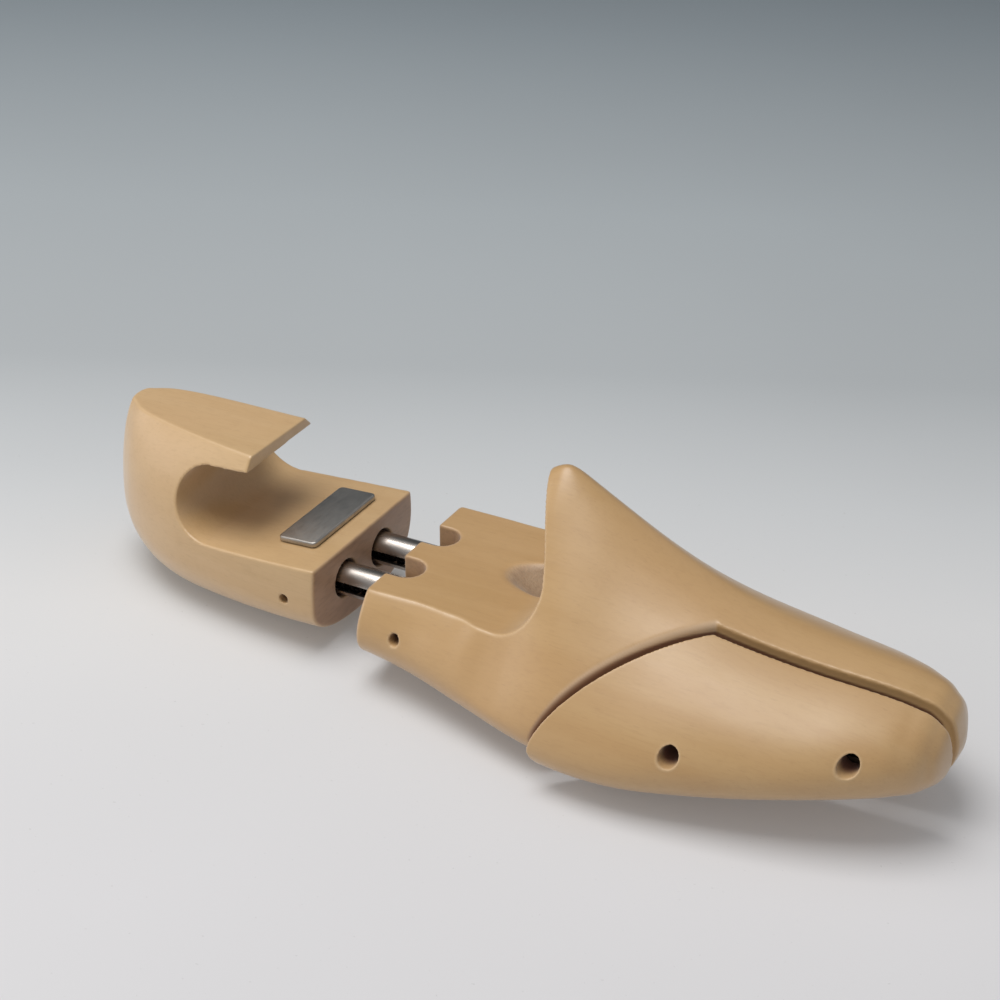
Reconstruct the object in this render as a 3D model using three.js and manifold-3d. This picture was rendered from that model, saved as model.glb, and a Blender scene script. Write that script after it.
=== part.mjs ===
import * as THREE from 'three';
import { mergeVertices } from 'three/addons/utils/BufferGeometryUtils.js';
import Module from 'manifold-3d';

const wasm = await Module();
wasm.setup();

// Shoe tree for a right shoe, in millimetres, +X toward the toe, +Z up.
// While it is modelled, the two tubes run along X at z = 0 and the heel block
// ends at x = 0. The last group tips it so that it stands on heel and ball.

// Heel block
const HEEL_FRONT = 0;
const HEEL_TOP = 36.5;
const HEEL_DECK = 11.0;
const HEEL_DECK_SLOPE = 0.056;
const SLAB_FRONT = -27.5;
const GRIP = { x: -40, reach: 11.6, underside: 31.6, sideRise: 0.03 };
const HEEL_BORE = { diameter: 12, end: -40 };

// Forepart
const FORE_REAR = 16.9;
const DECK = 9.65;
const INSTEP_FILLET = 12;
const INSTEP_X = 58.8;
const INSTEP_TIP = { x: 58.5, z: 50 };
const NOTCH = { width: 10.8, tip: 26.5, floor: 1 };
const FINGER_HOLE = { tip: 47.5, y: 2.6, radius: 9.4, dip: 27, length: 28 };

// Tubes and what they carry
const TUBE = { y: 10.25, diameter: 10, wall: 1, rear: -18, front: 48 };
const TUBE_SLOT = { z: -0.25, width: 3.2, endGap: 0.2 };
const HEEL_PIN = { x: -10.4, z: -0.5, diameter: 2.4, low: -25, high: 24.8 };
const FORE_PIN = { x: 29.8, z: 0, diameter: 2.4, low: -28, high: 26 };
const PIN_COUNTERBORE = { diameter: 3.6, end: -27 };
const SEAT_LENGTH = 2.5;
const GAP = 0.3;

// Side wing at the toe
const WING_CORNER = { x: 117.8, y: -10.9 };
const RIDGE_SLOPE = 0.095;
const WING_REAR = { x: 79.5, y: -45.0 };
const WING_OUT = 4.3;
const WING_SETBACK = 1.1;
const SCREWS = {
  rear: { x: 119.5, z: -1.7, seat: -25.7, pocket: -17.7, back: -4, nut: 22, tail: 26.5 },
  front: { x: 163.2, z: 1.6, seat: -16.7, pocket: -11.7, back: -1, nut: 11.5, tail: 16 },
};
const SHANK = 4;
const COUNTERBORE = 6.2;
const POCKET = 8;

// Name plate
const PLATE = { x: -13.5, y: 1.7, width: 13, length: 35, thickness: 1.6, corner: 1.6 };

// Heights of the two places it stands on
const HEEL_REST = { x: -45, z: -16.2 };
const BALL_REST = { x: 92, z: -22.0 };

// Cross sections of the closed last. Each row gives the station x, then the
// near, far, top and bottom points as y and z, then how full each quarter is:
// top near (2), top far (2), lower sides, sole.
const FORE_SECTIONS = [
  [8, -32.4, -3, 30.0, 6, 1, 21.0, 0, -13.6, 0.5, 0.42, 0.55, 0.55, 0.68, 0.64],
  [18, -33.0, -3, 30.0, 6, 1, 21.0, 0, -14.3, 0.5, 0.42, 0.55, 0.55, 0.68, 0.64],
  [34, -35.0, -4, 30.2, 5, 1.5, 22.0, 0, -16.3, 0.42, 0.33, 0.55, 0.55, 0.68, 0.64],
  [42, -36.7, -4.9, 30.3, 4.2, 1.7, 22.6, 0, -17.4, 0.35, 0.37, 0.54, 0.54, 0.68, 0.64],
  [50, -38.6, -6, 30.5, 3, 2, 26.5, 0, -18.6, 0.28, 0.31, 0.5, 0.5, 0.68, 0.64],
  [58, -40.5, -7.1, 30.7, 1.4, 2.6, 43.8, 0, -19.6, 0.175, 0.09, 0.34, 0.34, 0.676, 0.64],
  [64, -42.0, -8, 31.0, 0, 3, 48.8, 0, -20.4, 0.16, 0.06, 0.25, 0.25, 0.67, 0.64],
  [78, -45.0, -9.5, 33.0, -4, 3.2, 42.2, 0, -21.7, 0.24, 0.2, 0.22, 0.22, 0.66, 0.64],
  [92, -46.3, -10, 35.5, -6, 3.4, 34.2, 0, -22.3, 0.26, 0.26, 0.2, 0.2, 0.66, 0.64],
  [106, -45.8, -9.5, 37.0, -7, 3.2, 27.0, 0, -22.0, 0.34, 0.3, 0.22, 0.22, 0.66, 0.66],
  [120, -43.1, -8, 37.3, -7, 3.0, 21.7, 0, -20.4, 0.44, 0.36, 0.25, 0.25, 0.67, 0.68],
  [135, -39.4, -6.5, 35.0, -6, 3.0, 17.9, 0, -17.9, 0.48, 0.4, 0.29, 0.29, 0.68, 0.7],
  [150, -34.7, -5, 30.3, -4.5, 3.0, 15.3, 0, -15.2, 0.48, 0.45, 0.33, 0.33, 0.68, 0.7],
  [163, -29.2, -3.8, 24.5, -3, 3.0, 13.8, 0, -13.6, 0.5, 0.5, 0.4, 0.4, 0.66, 0.68],
  [173, -23.4, -3, 18.3, -2.6, 3, 12.0, 1, -12.6, 0.52, 0.52, 0.46, 0.46, 0.64, 0.66],
  [180, -16.6, -3.2, 12.0, -2.6, 2.5, 9.2, 1, -11.4, 0.55, 0.55, 0.5, 0.5, 0.6, 0.6],
  [183.6, -9.6, -3, 7.2, -2.5, 1.5, 4.6, 1, -8.6, 0.55, 0.55, 0.55, 0.55, 0.55, 0.55],
  [185.0, -2.5, -2.4, 2.0, -2.2, 0.5, -0.6, 0.5, -4.6, 0.55, 0.55, 0.55, 0.55, 0.55, 0.55],
];
const HEEL_SECTIONS = [
  [-86.2, 2.5, 8.6, 4.5, 8.6, 3.5, 11, 3.5, 6.4, 0.55, 0.55, 0.55, 0.55, 0.55, 0.55],
  [-85.2, -2.4, 8.5, 9.5, 8.3, 3.5, 26, 3, 1.2, 0.55, 0.55, 0.55, 0.55, 0.55, 0.55],
  [-83.4, -6.8, 8.2, 13.0, 7.6, 3.5, 35.5, 3, -3.0, 0.55, 0.55, 0.55, 0.55, 0.55, 0.55],
  [-80, -11.8, 7, 16.8, 6.4, 3.2, 39.3, 2.5, -7.0, 0.55, 0.55, 0.55, 0.55, 0.55, 0.55],
  [-75, -16.0, 5.2, 20.4, 5.2, 2.8, 40.8, 2, -10.8, 0.55, 0.55, 0.48, 0.55, 0.57, 0.57],
  [-67, -20.5, 3, 24.2, 4.2, 2.2, 41.3, 1.5, -14.2, 0.55, 0.55, 0.43, 0.55, 0.6, 0.6],
  [-55, -24.6, 1, 26.8, 4, 1.2, 42.0, 1, -16.2, 0.55, 0.55, 0.37, 0.55, 0.62, 0.62],
  [-40, -27.0, 0, 27.8, 4, -0.5, 43.0, 0.5, -16.5, 0.55, 0.55, 0.34, 0.55, 0.64, 0.62],
  [-25, -28.3, -1, 28.2, 4, -2.0, 44.0, 0, -15.9, 0.55, 0.55, 0.33, 0.55, 0.66, 0.62],
  [-10, -28.7, -2, 28.4, 5, -2.5, 45.5, 0, -15.0, 0.55, 0.55, 0.33, 0.55, 0.68, 0.62],
  [2, -28.6, -2, 28.4, 6, -2.5, 47, 0, -14.0, 0.55, 0.55, 0.33, 0.55, 0.7, 0.62],
];

const WOOD = { color: 0xc9a878, roughness: 0.45, metalness: 0 };
const PALE_WOOD = { color: 0xd6b48c, roughness: 0.45, metalness: 0 };
const STEEL = { color: 0xc4c4c2, roughness: 0.22, metalness: 1 };
const DARK_STEEL = { color: 0x3c3b39, roughness: 0.4, metalness: 1 };
const NICKEL = { color: 0x77756f, roughness: 0.38, metalness: 1 };
const BRASS = { color: 0xb59a5c, roughness: 0.35, metalness: 1 };

// ---- solids and booleans ----

function toSolid(geometry) {
  const bare = geometry.clone();
  bare.deleteAttribute('normal');
  bare.deleteAttribute('uv');
  const merged = mergeVertices(bare, 1e-4);
  return new wasm.Manifold(new wasm.Mesh({
    numProp: 3,
    vertProperties: new Float32Array(merged.attributes.position.array),
    triVerts: new Uint32Array(merged.index.array),
  }));
}

function toGeometry(solid) {
  const data = solid.getMesh();
  const geometry = new THREE.BufferGeometry();
  geometry.setAttribute('position', new THREE.BufferAttribute(data.vertProperties, 3));
  geometry.setIndex(new THREE.BufferAttribute(data.triVerts, 1));
  const flat = geometry.toNonIndexed();
  flat.computeVertexNormals();
  return flat;
}

function subtractAll(solid, cutters) {
  return cutters.reduce((left, cutter) => left.subtract(cutter), solid);
}

function makeMesh(name, geometry, look) {
  const mesh = new THREE.Mesh(geometry, new THREE.MeshStandardMaterial(look));
  mesh.name = name;
  return mesh;
}

// A round bar along Y from low to high.
function barY(diameter, x, z, low, high, sides) {
  const bar = new THREE.CylinderGeometry(diameter / 2, diameter / 2, high - low, sides);
  bar.translate(x, (low + high) / 2, z);
  return bar;
}

// A round bar along X from low to high.
function barX(diameter, y, z, low, high, sides) {
  const bar = new THREE.CylinderGeometry(diameter / 2, diameter / 2, high - low, sides);
  bar.rotateZ(-Math.PI / 2);
  bar.translate((low + high) / 2, y, z);
  return bar;
}

// An outline drawn in X and Z, swept along Y from low to high.
function sweepY(shape, low, high, curveSegments) {
  const swept = new THREE.ExtrudeGeometry(shape, {
    depth: high - low,
    bevelEnabled: false,
    curveSegments,
  });
  swept.rotateX(Math.PI / 2);
  swept.translate(0, high, 0);
  return swept;
}

// An outline drawn in X and Y, swept along Z from low to high.
function sweepZ(shape, low, high) {
  const swept = new THREE.ExtrudeGeometry(shape, { depth: high - low, bevelEnabled: false });
  swept.translate(0, 0, low);
  return swept;
}

// ---- the last, as a skin over its cross sections ----

// Rate of change of every column at each station, for a smooth curve through all.
function columnSlopes(rows) {
  const last = rows.length - 1;
  const step = (i, c) => (rows[i + 1][c] - rows[i][c]) / (rows[i + 1][0] - rows[i][0]);
  return rows.map((row, i) => row.map((_, c) => {
    if (i === 0) {
      return step(0, c);
    }
    if (i === last) {
      return step(last - 1, c);
    }
    const before = rows[i][0] - rows[i - 1][0];
    const after = rows[i + 1][0] - rows[i][0];
    return (step(i - 1, c) * after + step(i, c) * before) / (before + after);
  }));
}

function sectionAt(rows, slopes, x) {
  let i = 0;
  while (i < rows.length - 2 && x > rows[i + 1][0]) {
    i += 1;
  }
  const span = rows[i + 1][0] - rows[i][0];
  const t = (x - rows[i][0]) / span;
  return rows[i].map((value, c) => {
    const a = 2 * t ** 3 - 3 * t ** 2 + 1;
    const b = t ** 3 - 2 * t ** 2 + t;
    const d = 3 * t ** 2 - 2 * t ** 3;
    const e = t ** 3 - t ** 2;
    return a * value + b * span * slopes[i][c] + d * rows[i + 1][c] + e * span * slopes[i + 1][c];
  });
}

// One closed ring of points, made of four quarter curves.
function sectionRing(section, perQuarter) {
  const [x, yn, zn, yf, zf, yt, zt, yb, zb, ktn, ksn, ktf, ksf, side, sole] = section;
  const mix = (a, b, k) => a + (b - a) * k;
  const quarters = [
    [[yt, zt], [mix(yt, yn, ktn), zt], [yn, mix(zn, zt, ksn)], [yn, zn]],
    [[yn, zn], [yn, mix(zn, zb, side)], [mix(yb, yn, sole), zb], [yb, zb]],
    [[yb, zb], [mix(yb, yf, sole), zb], [yf, mix(zf, zb, side)], [yf, zf]],
    [[yf, zf], [yf, mix(zf, zt, ksf)], [mix(yt, yf, ktf), zt], [yt, zt]],
  ];
  return quarters.flatMap((corner) => {
    const points = corner.map(([y, z]) => new THREE.Vector3(x, y, z));
    return new THREE.CubicBezierCurve3(...points).getPoints(perQuarter).slice(0, -1);
  });
}

function skinOver(rows, stations, perQuarter) {
  const slopes = columnSlopes(rows);
  const rings = stations.map((x) => sectionRing(sectionAt(rows, slopes, x), perQuarter));
  const count = rings[0].length;
  const points = rings.flat();
  const centre = (ring) => ring.reduce((sum, p) => sum.add(p), new THREE.Vector3())
    .divideScalar(ring.length);
  points.push(centre(rings[0]), centre(rings[rings.length - 1]));
  const index = [];
  for (let r = 0; r < rings.length - 1; r += 1) {
    for (let k = 0; k < count; k += 1) {
      const a = r * count + k;
      const b = r * count + (k + 1) % count;
      index.push(a, b, a + count, b, b + count, a + count);
    }
  }
  const lastRing = (rings.length - 1) * count;
  for (let k = 0; k < count; k += 1) {
    const next = (k + 1) % count;
    index.push(points.length - 2, next, k);
    index.push(points.length - 1, lastRing + k, lastRing + next);
  }
  const skin = new THREE.BufferGeometry().setFromPoints(points);
  skin.setIndex(index);
  return skin;
}

// Stations between two ends, with the given rows kept.
function stationsOf(rows, first, last, largest) {
  const stations = [first];
  const marks = rows.map((row) => row[0]).filter((x) => x > first && x < last);
  for (const mark of [...marks, last]) {
    const from = stations[stations.length - 1];
    const pieces = Math.ceil((mark - from) / largest);
    for (let i = 1; i <= pieces; i += 1) {
      stations.push(from + (mark - from) * i / pieces);
    }
  }
  return stations;
}

function closedForepart() {
  const stations = stationsOf(FORE_SECTIONS, FORE_REAR, FORE_SECTIONS.at(-1)[0], 8);
  return toSolid(skinOver(FORE_SECTIONS, stations, 9));
}

// ---- shared cutters ----

// Everything below the floor it stands on.
function belowFloor() {
  const slope = (BALL_REST.z - HEEL_REST.z) / (BALL_REST.x - HEEL_REST.x);
  const height = (x) => HEEL_REST.z + slope * (x - HEEL_REST.x);
  const outline = new THREE.Shape();
  outline.moveTo(-120, -70);
  outline.lineTo(220, -70);
  outline.lineTo(220, height(220));
  outline.lineTo(-120, height(-120));
  return toSolid(sweepY(outline, -80, 80, 1));
}

// Plan outline of the wing, set back from the saw line by the given amounts.
function wingRegion(setback, inset) {
  const slope = (WING_CORNER.y - WING_REAR.y) / (WING_CORNER.x - WING_REAR.x);
  const ridge = (x) => WING_CORNER.y - inset + RIDGE_SLOPE * (x - WING_CORNER.x);
  const rearX = (y) => WING_CORNER.x + setback + (y - WING_CORNER.y) / slope;
  const corner = rearX(ridge(WING_CORNER.x));
  const outline = new THREE.Shape();
  outline.moveTo(corner, ridge(corner));
  outline.lineTo(rearX(-80), -80);
  outline.lineTo(200, -80);
  outline.lineTo(200, ridge(200));
  return toSolid(sweepZ(outline, -60, 60));
}

// ---- forepart ----

// The flat deck and the curved front of the instep, cut straight across.
function deckAndInstepCut() {
  const outline = new THREE.Shape();
  outline.moveTo(0, DECK);
  outline.lineTo(INSTEP_X, DECK);
  outline.absarc(INSTEP_X, DECK + INSTEP_FILLET, INSTEP_FILLET, -Math.PI / 2, 0, false);
  outline.quadraticCurveTo(INSTEP_X + 11.1, 28, INSTEP_TIP.x, INSTEP_TIP.z);
  outline.lineTo(INSTEP_TIP.x - 1, 70);
  outline.lineTo(0, 70);
  return toSolid(sweepY(outline, -60, 60, 8));
}

// A round-ended slot in the deck's rear edge, above one tube.
function tubeNotch(y) {
  const half = NOTCH.width / 2;
  const outline = new THREE.Shape();
  outline.moveTo(FORE_REAR - 5, y - half);
  outline.lineTo(NOTCH.tip - half, y - half);
  outline.absarc(NOTCH.tip - half, y, half, -Math.PI / 2, Math.PI / 2, false);
  outline.lineTo(FORE_REAR - 5, y + half);
  return toSolid(sweepZ(outline, NOTCH.floor, 30));
}

function fingerHole() {
  const dip = THREE.MathUtils.degToRad(FINGER_HOLE.dip);
  const { radius, length } = FINGER_HOLE;
  const back = 30;
  const drill = new THREE.CylinderGeometry(radius, radius, length + back, 32);
  drill.rotateZ(-Math.PI / 2);
  drill.translate((length - back) / 2, 0, radius);
  drill.rotateY(dip);
  drill.translate(FINGER_HOLE.tip, FINGER_HOLE.y, DECK);
  return toSolid(drill);
}

// The holes for one wing screw, its nut and its spring, on the forepart's side.
function foreScrewHoles(screw) {
  return [
    toSolid(barY(SHANK + 2 * GAP, screw.x, screw.z, -60, 60, 16)),
    toSolid(barY(POCKET, screw.x, screw.z, -60, screw.back, 20)),
    toSolid(barY(POCKET, screw.x, screw.z, screw.nut, 60, 20)),
  ];
}

function forepartBody() {
  const tubeBore = TUBE.diameter + 2 * GAP;
  const solid = subtractAll(closedForepart(), [
    belowFloor(),
    deckAndInstepCut(),
    wingRegion(0, 0),
    fingerHole(),
    ...[-TUBE.y, TUBE.y].map(tubeNotch),
    ...[-TUBE.y, TUBE.y].map((y) => toSolid(barX(tubeBore, y, 0, 0, TUBE.front + GAP, 32))),
    toSolid(barY(FORE_PIN.diameter + 2 * GAP, FORE_PIN.x, FORE_PIN.z, -60, 60, 16)),
    toSolid(barY(PIN_COUNTERBORE.diameter, FORE_PIN.x, FORE_PIN.z, -60, PIN_COUNTERBORE.end, 20)),
    ...Object.values(SCREWS).flatMap(foreScrewHoles),
  ]);
  return makeMesh('forepart_body', toGeometry(solid), WOOD);
}

// ---- heel ----

// Clears everything above the heel's deck, in front of the grip.
function heelDeckCut() {
  const deck = (x) => HEEL_DECK + HEEL_DECK_SLOPE * x;
  const outline = new THREE.Shape();
  outline.moveTo(GRIP.x, deck(GRIP.x));
  outline.lineTo(20, deck(20));
  outline.lineTo(20, 24);
  outline.lineTo(GRIP.x, 24);
  return toSolid(sweepY(outline, -60, 60, 1));
}

// The rounded grip under the top slab. Its roof rises toward the far side.
function gripCut() {
  const floor = HEEL_DECK + HEEL_DECK_SLOPE * GRIP.x;
  const middle = (GRIP.underside + floor) / 2;
  const half = (GRIP.underside - floor) / 2;
  const outline = new THREE.Shape();
  outline.moveTo(GRIP.x, floor);
  outline.lineTo(20, floor + 6);
  outline.lineTo(20, 80);
  outline.lineTo(SLAB_FRONT, 80);
  outline.lineTo(SLAB_FRONT, GRIP.underside + 1.15);
  outline.lineTo(GRIP.x, GRIP.underside);
  outline.absellipse(GRIP.x, middle, GRIP.reach, half, Math.PI / 2, 1.5 * Math.PI, false, 0);
  const cutter = sweepY(outline, -60, 60, 14);
  const spots = cutter.attributes.position;
  for (let i = 0; i < spots.count; i += 1) {
    const rise = THREE.MathUtils.clamp((spots.getZ(i) - floor) / (GRIP.underside - floor), 0, 1);
    spots.setZ(i, spots.getZ(i) + GRIP.sideRise * spots.getY(i) * rise);
  }
  return toSolid(cutter);
}

function aboveHeelTop() {
  const slab = new THREE.BoxGeometry(160, 120, 40);
  slab.translate(-60, 0, HEEL_TOP + 20);
  return toSolid(slab);
}

// The two places where the plate's pins go into the deck.
function plateStems(diameter, low, high) {
  return [-1, 1].map((side) => {
    const stem = new THREE.CylinderGeometry(diameter / 2, diameter / 2, high - low, 12);
    stem.rotateX(Math.PI / 2);
    stem.translate(0, side * PLATE.length * 0.36, (low + high) / 2);
    return stem;
  });
}

function placeOnDeck(geometry) {
  geometry.rotateY(-Math.atan(HEEL_DECK_SLOPE));
  geometry.translate(PLATE.x, PLATE.y, HEEL_DECK + HEEL_DECK_SLOPE * PLATE.x);
  return geometry;
}

function heelBlock() {
  const first = HEEL_SECTIONS[0][0];
  const stations = stationsOf(HEEL_SECTIONS, first, HEEL_FRONT, 8);
  const solid = subtractAll(toSolid(skinOver(HEEL_SECTIONS, stations, 9)), [
    belowFloor(),
    aboveHeelTop(),
    heelDeckCut(),
    gripCut(),
    ...[-TUBE.y, TUBE.y].map((y) => toSolid(barX(HEEL_BORE.diameter, y, 0, HEEL_BORE.end, 5, 32))),
    toSolid(barY(HEEL_PIN.diameter + 2 * GAP, HEEL_PIN.x, HEEL_PIN.z, -60, 60, 16)),
    ...plateStems(2 + 2 * GAP, -3, 1).map((stem) => toSolid(placeOnDeck(stem))),
  ]);
  return makeMesh('heel_block', toGeometry(solid), WOOD);
}

// ---- tubes and springs ----

// A guide tube, with a long slot through it that both cross pins stand in.
function guideTube(name, y) {
  const bore = TUBE.diameter - 2 * TUBE.wall;
  const half = TUBE_SLOT.width / 2;
  const reach = HEEL_PIN.diameter / 2 + TUBE_SLOT.endGap - half;
  const slot = new THREE.Shape();
  slot.absarc(HEEL_PIN.x - reach, TUBE_SLOT.z, half, Math.PI / 2, 1.5 * Math.PI, false);
  slot.absarc(FORE_PIN.x + reach, TUBE_SLOT.z, half, -Math.PI / 2, Math.PI / 2, false);
  const solid = subtractAll(toSolid(barX(TUBE.diameter, y, 0, TUBE.rear, TUBE.front, 32)), [
    toSolid(barX(bore, y, 0, TUBE.rear - 5, TUBE.front + 5, 28)),
    toSolid(sweepY(slot, -40, 40, 4)),
  ]);
  return makeMesh(name, toGeometry(solid), STEEL);
}

// The button between the heel's cross pin and the spring in one tube.
function springSeat(name, y) {
  const radius = TUBE.diameter / 2 - TUBE.wall - GAP;
  const rear = HEEL_PIN.x + HEEL_PIN.diameter / 2 + GAP;
  const front = rear + SEAT_LENGTH;
  const outline = [
    [0, rear], [radius - 0.3, rear], [radius, rear + 0.3], [radius, front],
    [2.2, front], [2.2, front + 2.6], [1.8, front + 3], [0, front + 3],
  ];
  const seat = new THREE.LatheGeometry(outline.map(([r, h]) => new THREE.Vector2(r, h)), 24);
  seat.rotateZ(-Math.PI / 2);
  seat.translate(0, y, 0);
  return makeMesh(name, toGeometry(toSolid(seat)), NICKEL);
}

// A round wire wound along Z from 0 to length.
function coil(diameter, wire, turns, length) {
  const radius = (diameter - wire) / 2;
  const rise = length - wire;
  const Winding = class extends THREE.Curve {
    getPoint(t, target = new THREE.Vector3()) {
      const turn = 2 * Math.PI * turns * t;
      return target.set(radius * Math.cos(turn), radius * Math.sin(turn), wire / 2 + rise * t);
    }
  };
  const round = new THREE.Shape();
  round.absarc(0, 0, wire / 2, 0, 2 * Math.PI, false);
  return new THREE.ExtrudeGeometry(round, {
    steps: Math.round(turns * 10),
    curveSegments: 3,
    extrudePath: new Winding(),
    bevelEnabled: false,
  });
}

// The spring inside one tube, from the seat to the forepart's cross pin.
function tubeSpring(name, y) {
  const rear = HEEL_PIN.x + HEEL_PIN.diameter / 2 + SEAT_LENGTH + 2 * GAP;
  const front = FORE_PIN.x - FORE_PIN.diameter / 2 - GAP;
  const spring = coil(7.2, 0.9, 9, front - rear);
  spring.rotateY(Math.PI / 2);
  spring.translate(rear, y, 0);
  return makeMesh(name, toGeometry(toSolid(spring)), DARK_STEEL);
}

function crossPin(name, pin) {
  const chamfer = 0.3;
  const radius = pin.diameter / 2;
  const outline = [
    [0, pin.low], [radius - chamfer, pin.low], [radius, pin.low + chamfer],
    [radius, pin.high - chamfer], [radius - chamfer, pin.high], [0, pin.high],
  ];
  const rod = new THREE.LatheGeometry(outline.map(([r, h]) => new THREE.Vector2(r, h)), 16);
  rod.translate(pin.x, 0, pin.z);
  return makeMesh(name, toGeometry(toSolid(rod)), STEEL);
}

// ---- name plate ----

function namePlate() {
  const { width, length, corner, thickness } = PLATE;
  const outline = new THREE.Shape();
  const x = width / 2 - corner;
  const y = length / 2 - corner;
  outline.absarc(x, y, corner, 0, Math.PI / 2, false);
  outline.absarc(-x, y, corner, Math.PI / 2, Math.PI, false);
  outline.absarc(-x, -y, corner, Math.PI, 1.5 * Math.PI, false);
  outline.absarc(x, -y, corner, 1.5 * Math.PI, 2 * Math.PI, false);
  const slab = new THREE.ExtrudeGeometry(outline, {
    depth: thickness - 0.3,
    bevelSize: 0.3,
    bevelOffset: -0.3,
    bevelThickness: 0.3,
    bevelSegments: 1,
    curveSegments: 4,
  });
  slab.translate(0, 0, GAP);
  const keepTop = new THREE.BoxGeometry(width + 4, length + 4, 4);
  keepTop.translate(0, 0, 2 + GAP);
  const face = toSolid(slab).intersect(toSolid(keepTop));
  const solid = plateStems(2, -2.6, 1).reduce((whole, stem) => whole.add(toSolid(stem)), face);
  return makeMesh('name_plate', placeOnDeck(toGeometry(solid)), NICKEL);
}

// ---- wing and its screws ----

// The holes for one screw, its washer and its spring, on the wing's side.
function wingScrewHoles(screw) {
  return [
    toSolid(barY(SHANK + 2 * GAP, screw.x, screw.z, -60, 20, 16)),
    toSolid(barY(COUNTERBORE, screw.x, screw.z, -60, screw.seat, 24)),
    toSolid(barY(POCKET, screw.x, screw.z, screw.pocket, 20, 20)),
  ];
}

function toeWing() {
  const wing = closedForepart().intersect(wingRegion(WING_SETBACK, GAP));
  const solid = subtractAll(wing, [
    belowFloor(),
    ...Object.values(SCREWS).flatMap(wingScrewHoles),
  ]);
  const mesh = makeMesh('toe_wing', toGeometry(solid), PALE_WOOD);
  mesh.position.y = -WING_OUT;
  return mesh;
}

// A cheese-head screw along Y, its head toward the near side.
function guideScrew(name, screw) {
  const headTop = screw.seat - WING_OUT - 2 * GAP - 0.8;
  const headLow = headTop - 3;
  const outline = [
    [0, headLow], [2.4, headLow], [2.5, headLow + 0.5], [2.5, headTop],
    [SHANK / 2, headTop], [SHANK / 2, screw.tail - 0.4], [SHANK / 2 - 0.4, screw.tail], [0, screw.tail],
  ];
  const turned = new THREE.LatheGeometry(outline.map(([r, h]) => new THREE.Vector2(r, h)), 20);
  turned.translate(screw.x, 0, screw.z);
  const slot = new THREE.BoxGeometry(8, 2, 0.9);
  slot.translate(screw.x, headLow, screw.z);
  const solid = toSolid(turned).subtract(toSolid(slot));
  return makeMesh(name, toGeometry(solid), STEEL);
}

function washer(name, screw) {
  const top = screw.seat - WING_OUT - GAP;
  const ring = toSolid(barY(5.6, screw.x, screw.z, top - 0.8, top, 24));
  const hole = toSolid(barY(SHANK + 2 * GAP, screw.x, screw.z, top - 3, top + 3, 16));
  return makeMesh(name, toGeometry(ring.subtract(hole)), NICKEL);
}

// A round nut with a driving slot, seated in the far side's counterbore.
function guideNut(name, screw) {
  const low = screw.nut + GAP;
  const body = toSolid(barY(7.2, screw.x, screw.z, low, low + 5, 24));
  const hole = toSolid(barY(SHANK + 2 * GAP, screw.x, screw.z, low - 3, low + 9, 16));
  const slot = new THREE.BoxGeometry(10, 1.6, 1);
  slot.translate(screw.x, low + 5, screw.z);
  const solid = subtractAll(body, [hole, toSolid(slot)]);
  return makeMesh(name, toGeometry(solid), BRASS);
}

function wingSpring(name, screw) {
  const low = screw.pocket - WING_OUT + GAP;
  const spring = coil(7.2, 0.8, 5, screw.back - GAP - low);
  spring.rotateX(-Math.PI / 2);
  spring.translate(screw.x, low, screw.z);
  return makeMesh(name, toGeometry(toSolid(spring)), STEEL);
}

// ---- assembly ----

function assemble() {
  const forepart = new THREE.Group();
  forepart.add(forepartBody());
  for (const [side, y] of [['near', -TUBE.y], ['far', TUBE.y]]) {
    forepart.add(guideTube(`tube_${side}`, y));
    forepart.add(tubeSpring(`tube_spring_${side}`, y));
  }
  forepart.add(crossPin('forepart_cross_pin', FORE_PIN));
  for (const [place, screw] of Object.entries(SCREWS)) {
    forepart.add(guideScrew(`wing_guide_screw_${place}`, screw));
    forepart.add(guideNut(`wing_guide_nut_${place}`, screw));
    forepart.add(washer(`wing_washer_${place}`, screw));
    forepart.add(wingSpring(`wing_spring_${place}`, screw));
  }
  const heel = new THREE.Group();
  heel.add(heelBlock(), crossPin('heel_cross_pin', HEEL_PIN), namePlate());
  heel.add(springSeat('spring_seat_near', -TUBE.y), springSeat('spring_seat_far', TUBE.y));
  const wing = new THREE.Group();
  wing.add(toeWing());
  const tree = new THREE.Group();
  tree.add(forepart, heel, wing);
  return tree;
}

// Tip the tree onto heel and ball, then centre it over the origin.
const shoeTree = new THREE.Group();
const standing = assemble();
standing.rotation.y = Math.atan2(BALL_REST.z - HEEL_REST.z, BALL_REST.x - HEEL_REST.x);
shoeTree.add(standing);
shoeTree.updateMatrixWorld(true);
const extent = new THREE.Box3().setFromObject(shoeTree, true);
const middle = extent.getCenter(new THREE.Vector3());
standing.position.set(-middle.x, -middle.y, -extent.min.z);

export default shoeTree;
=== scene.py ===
import itertools
import math

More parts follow.
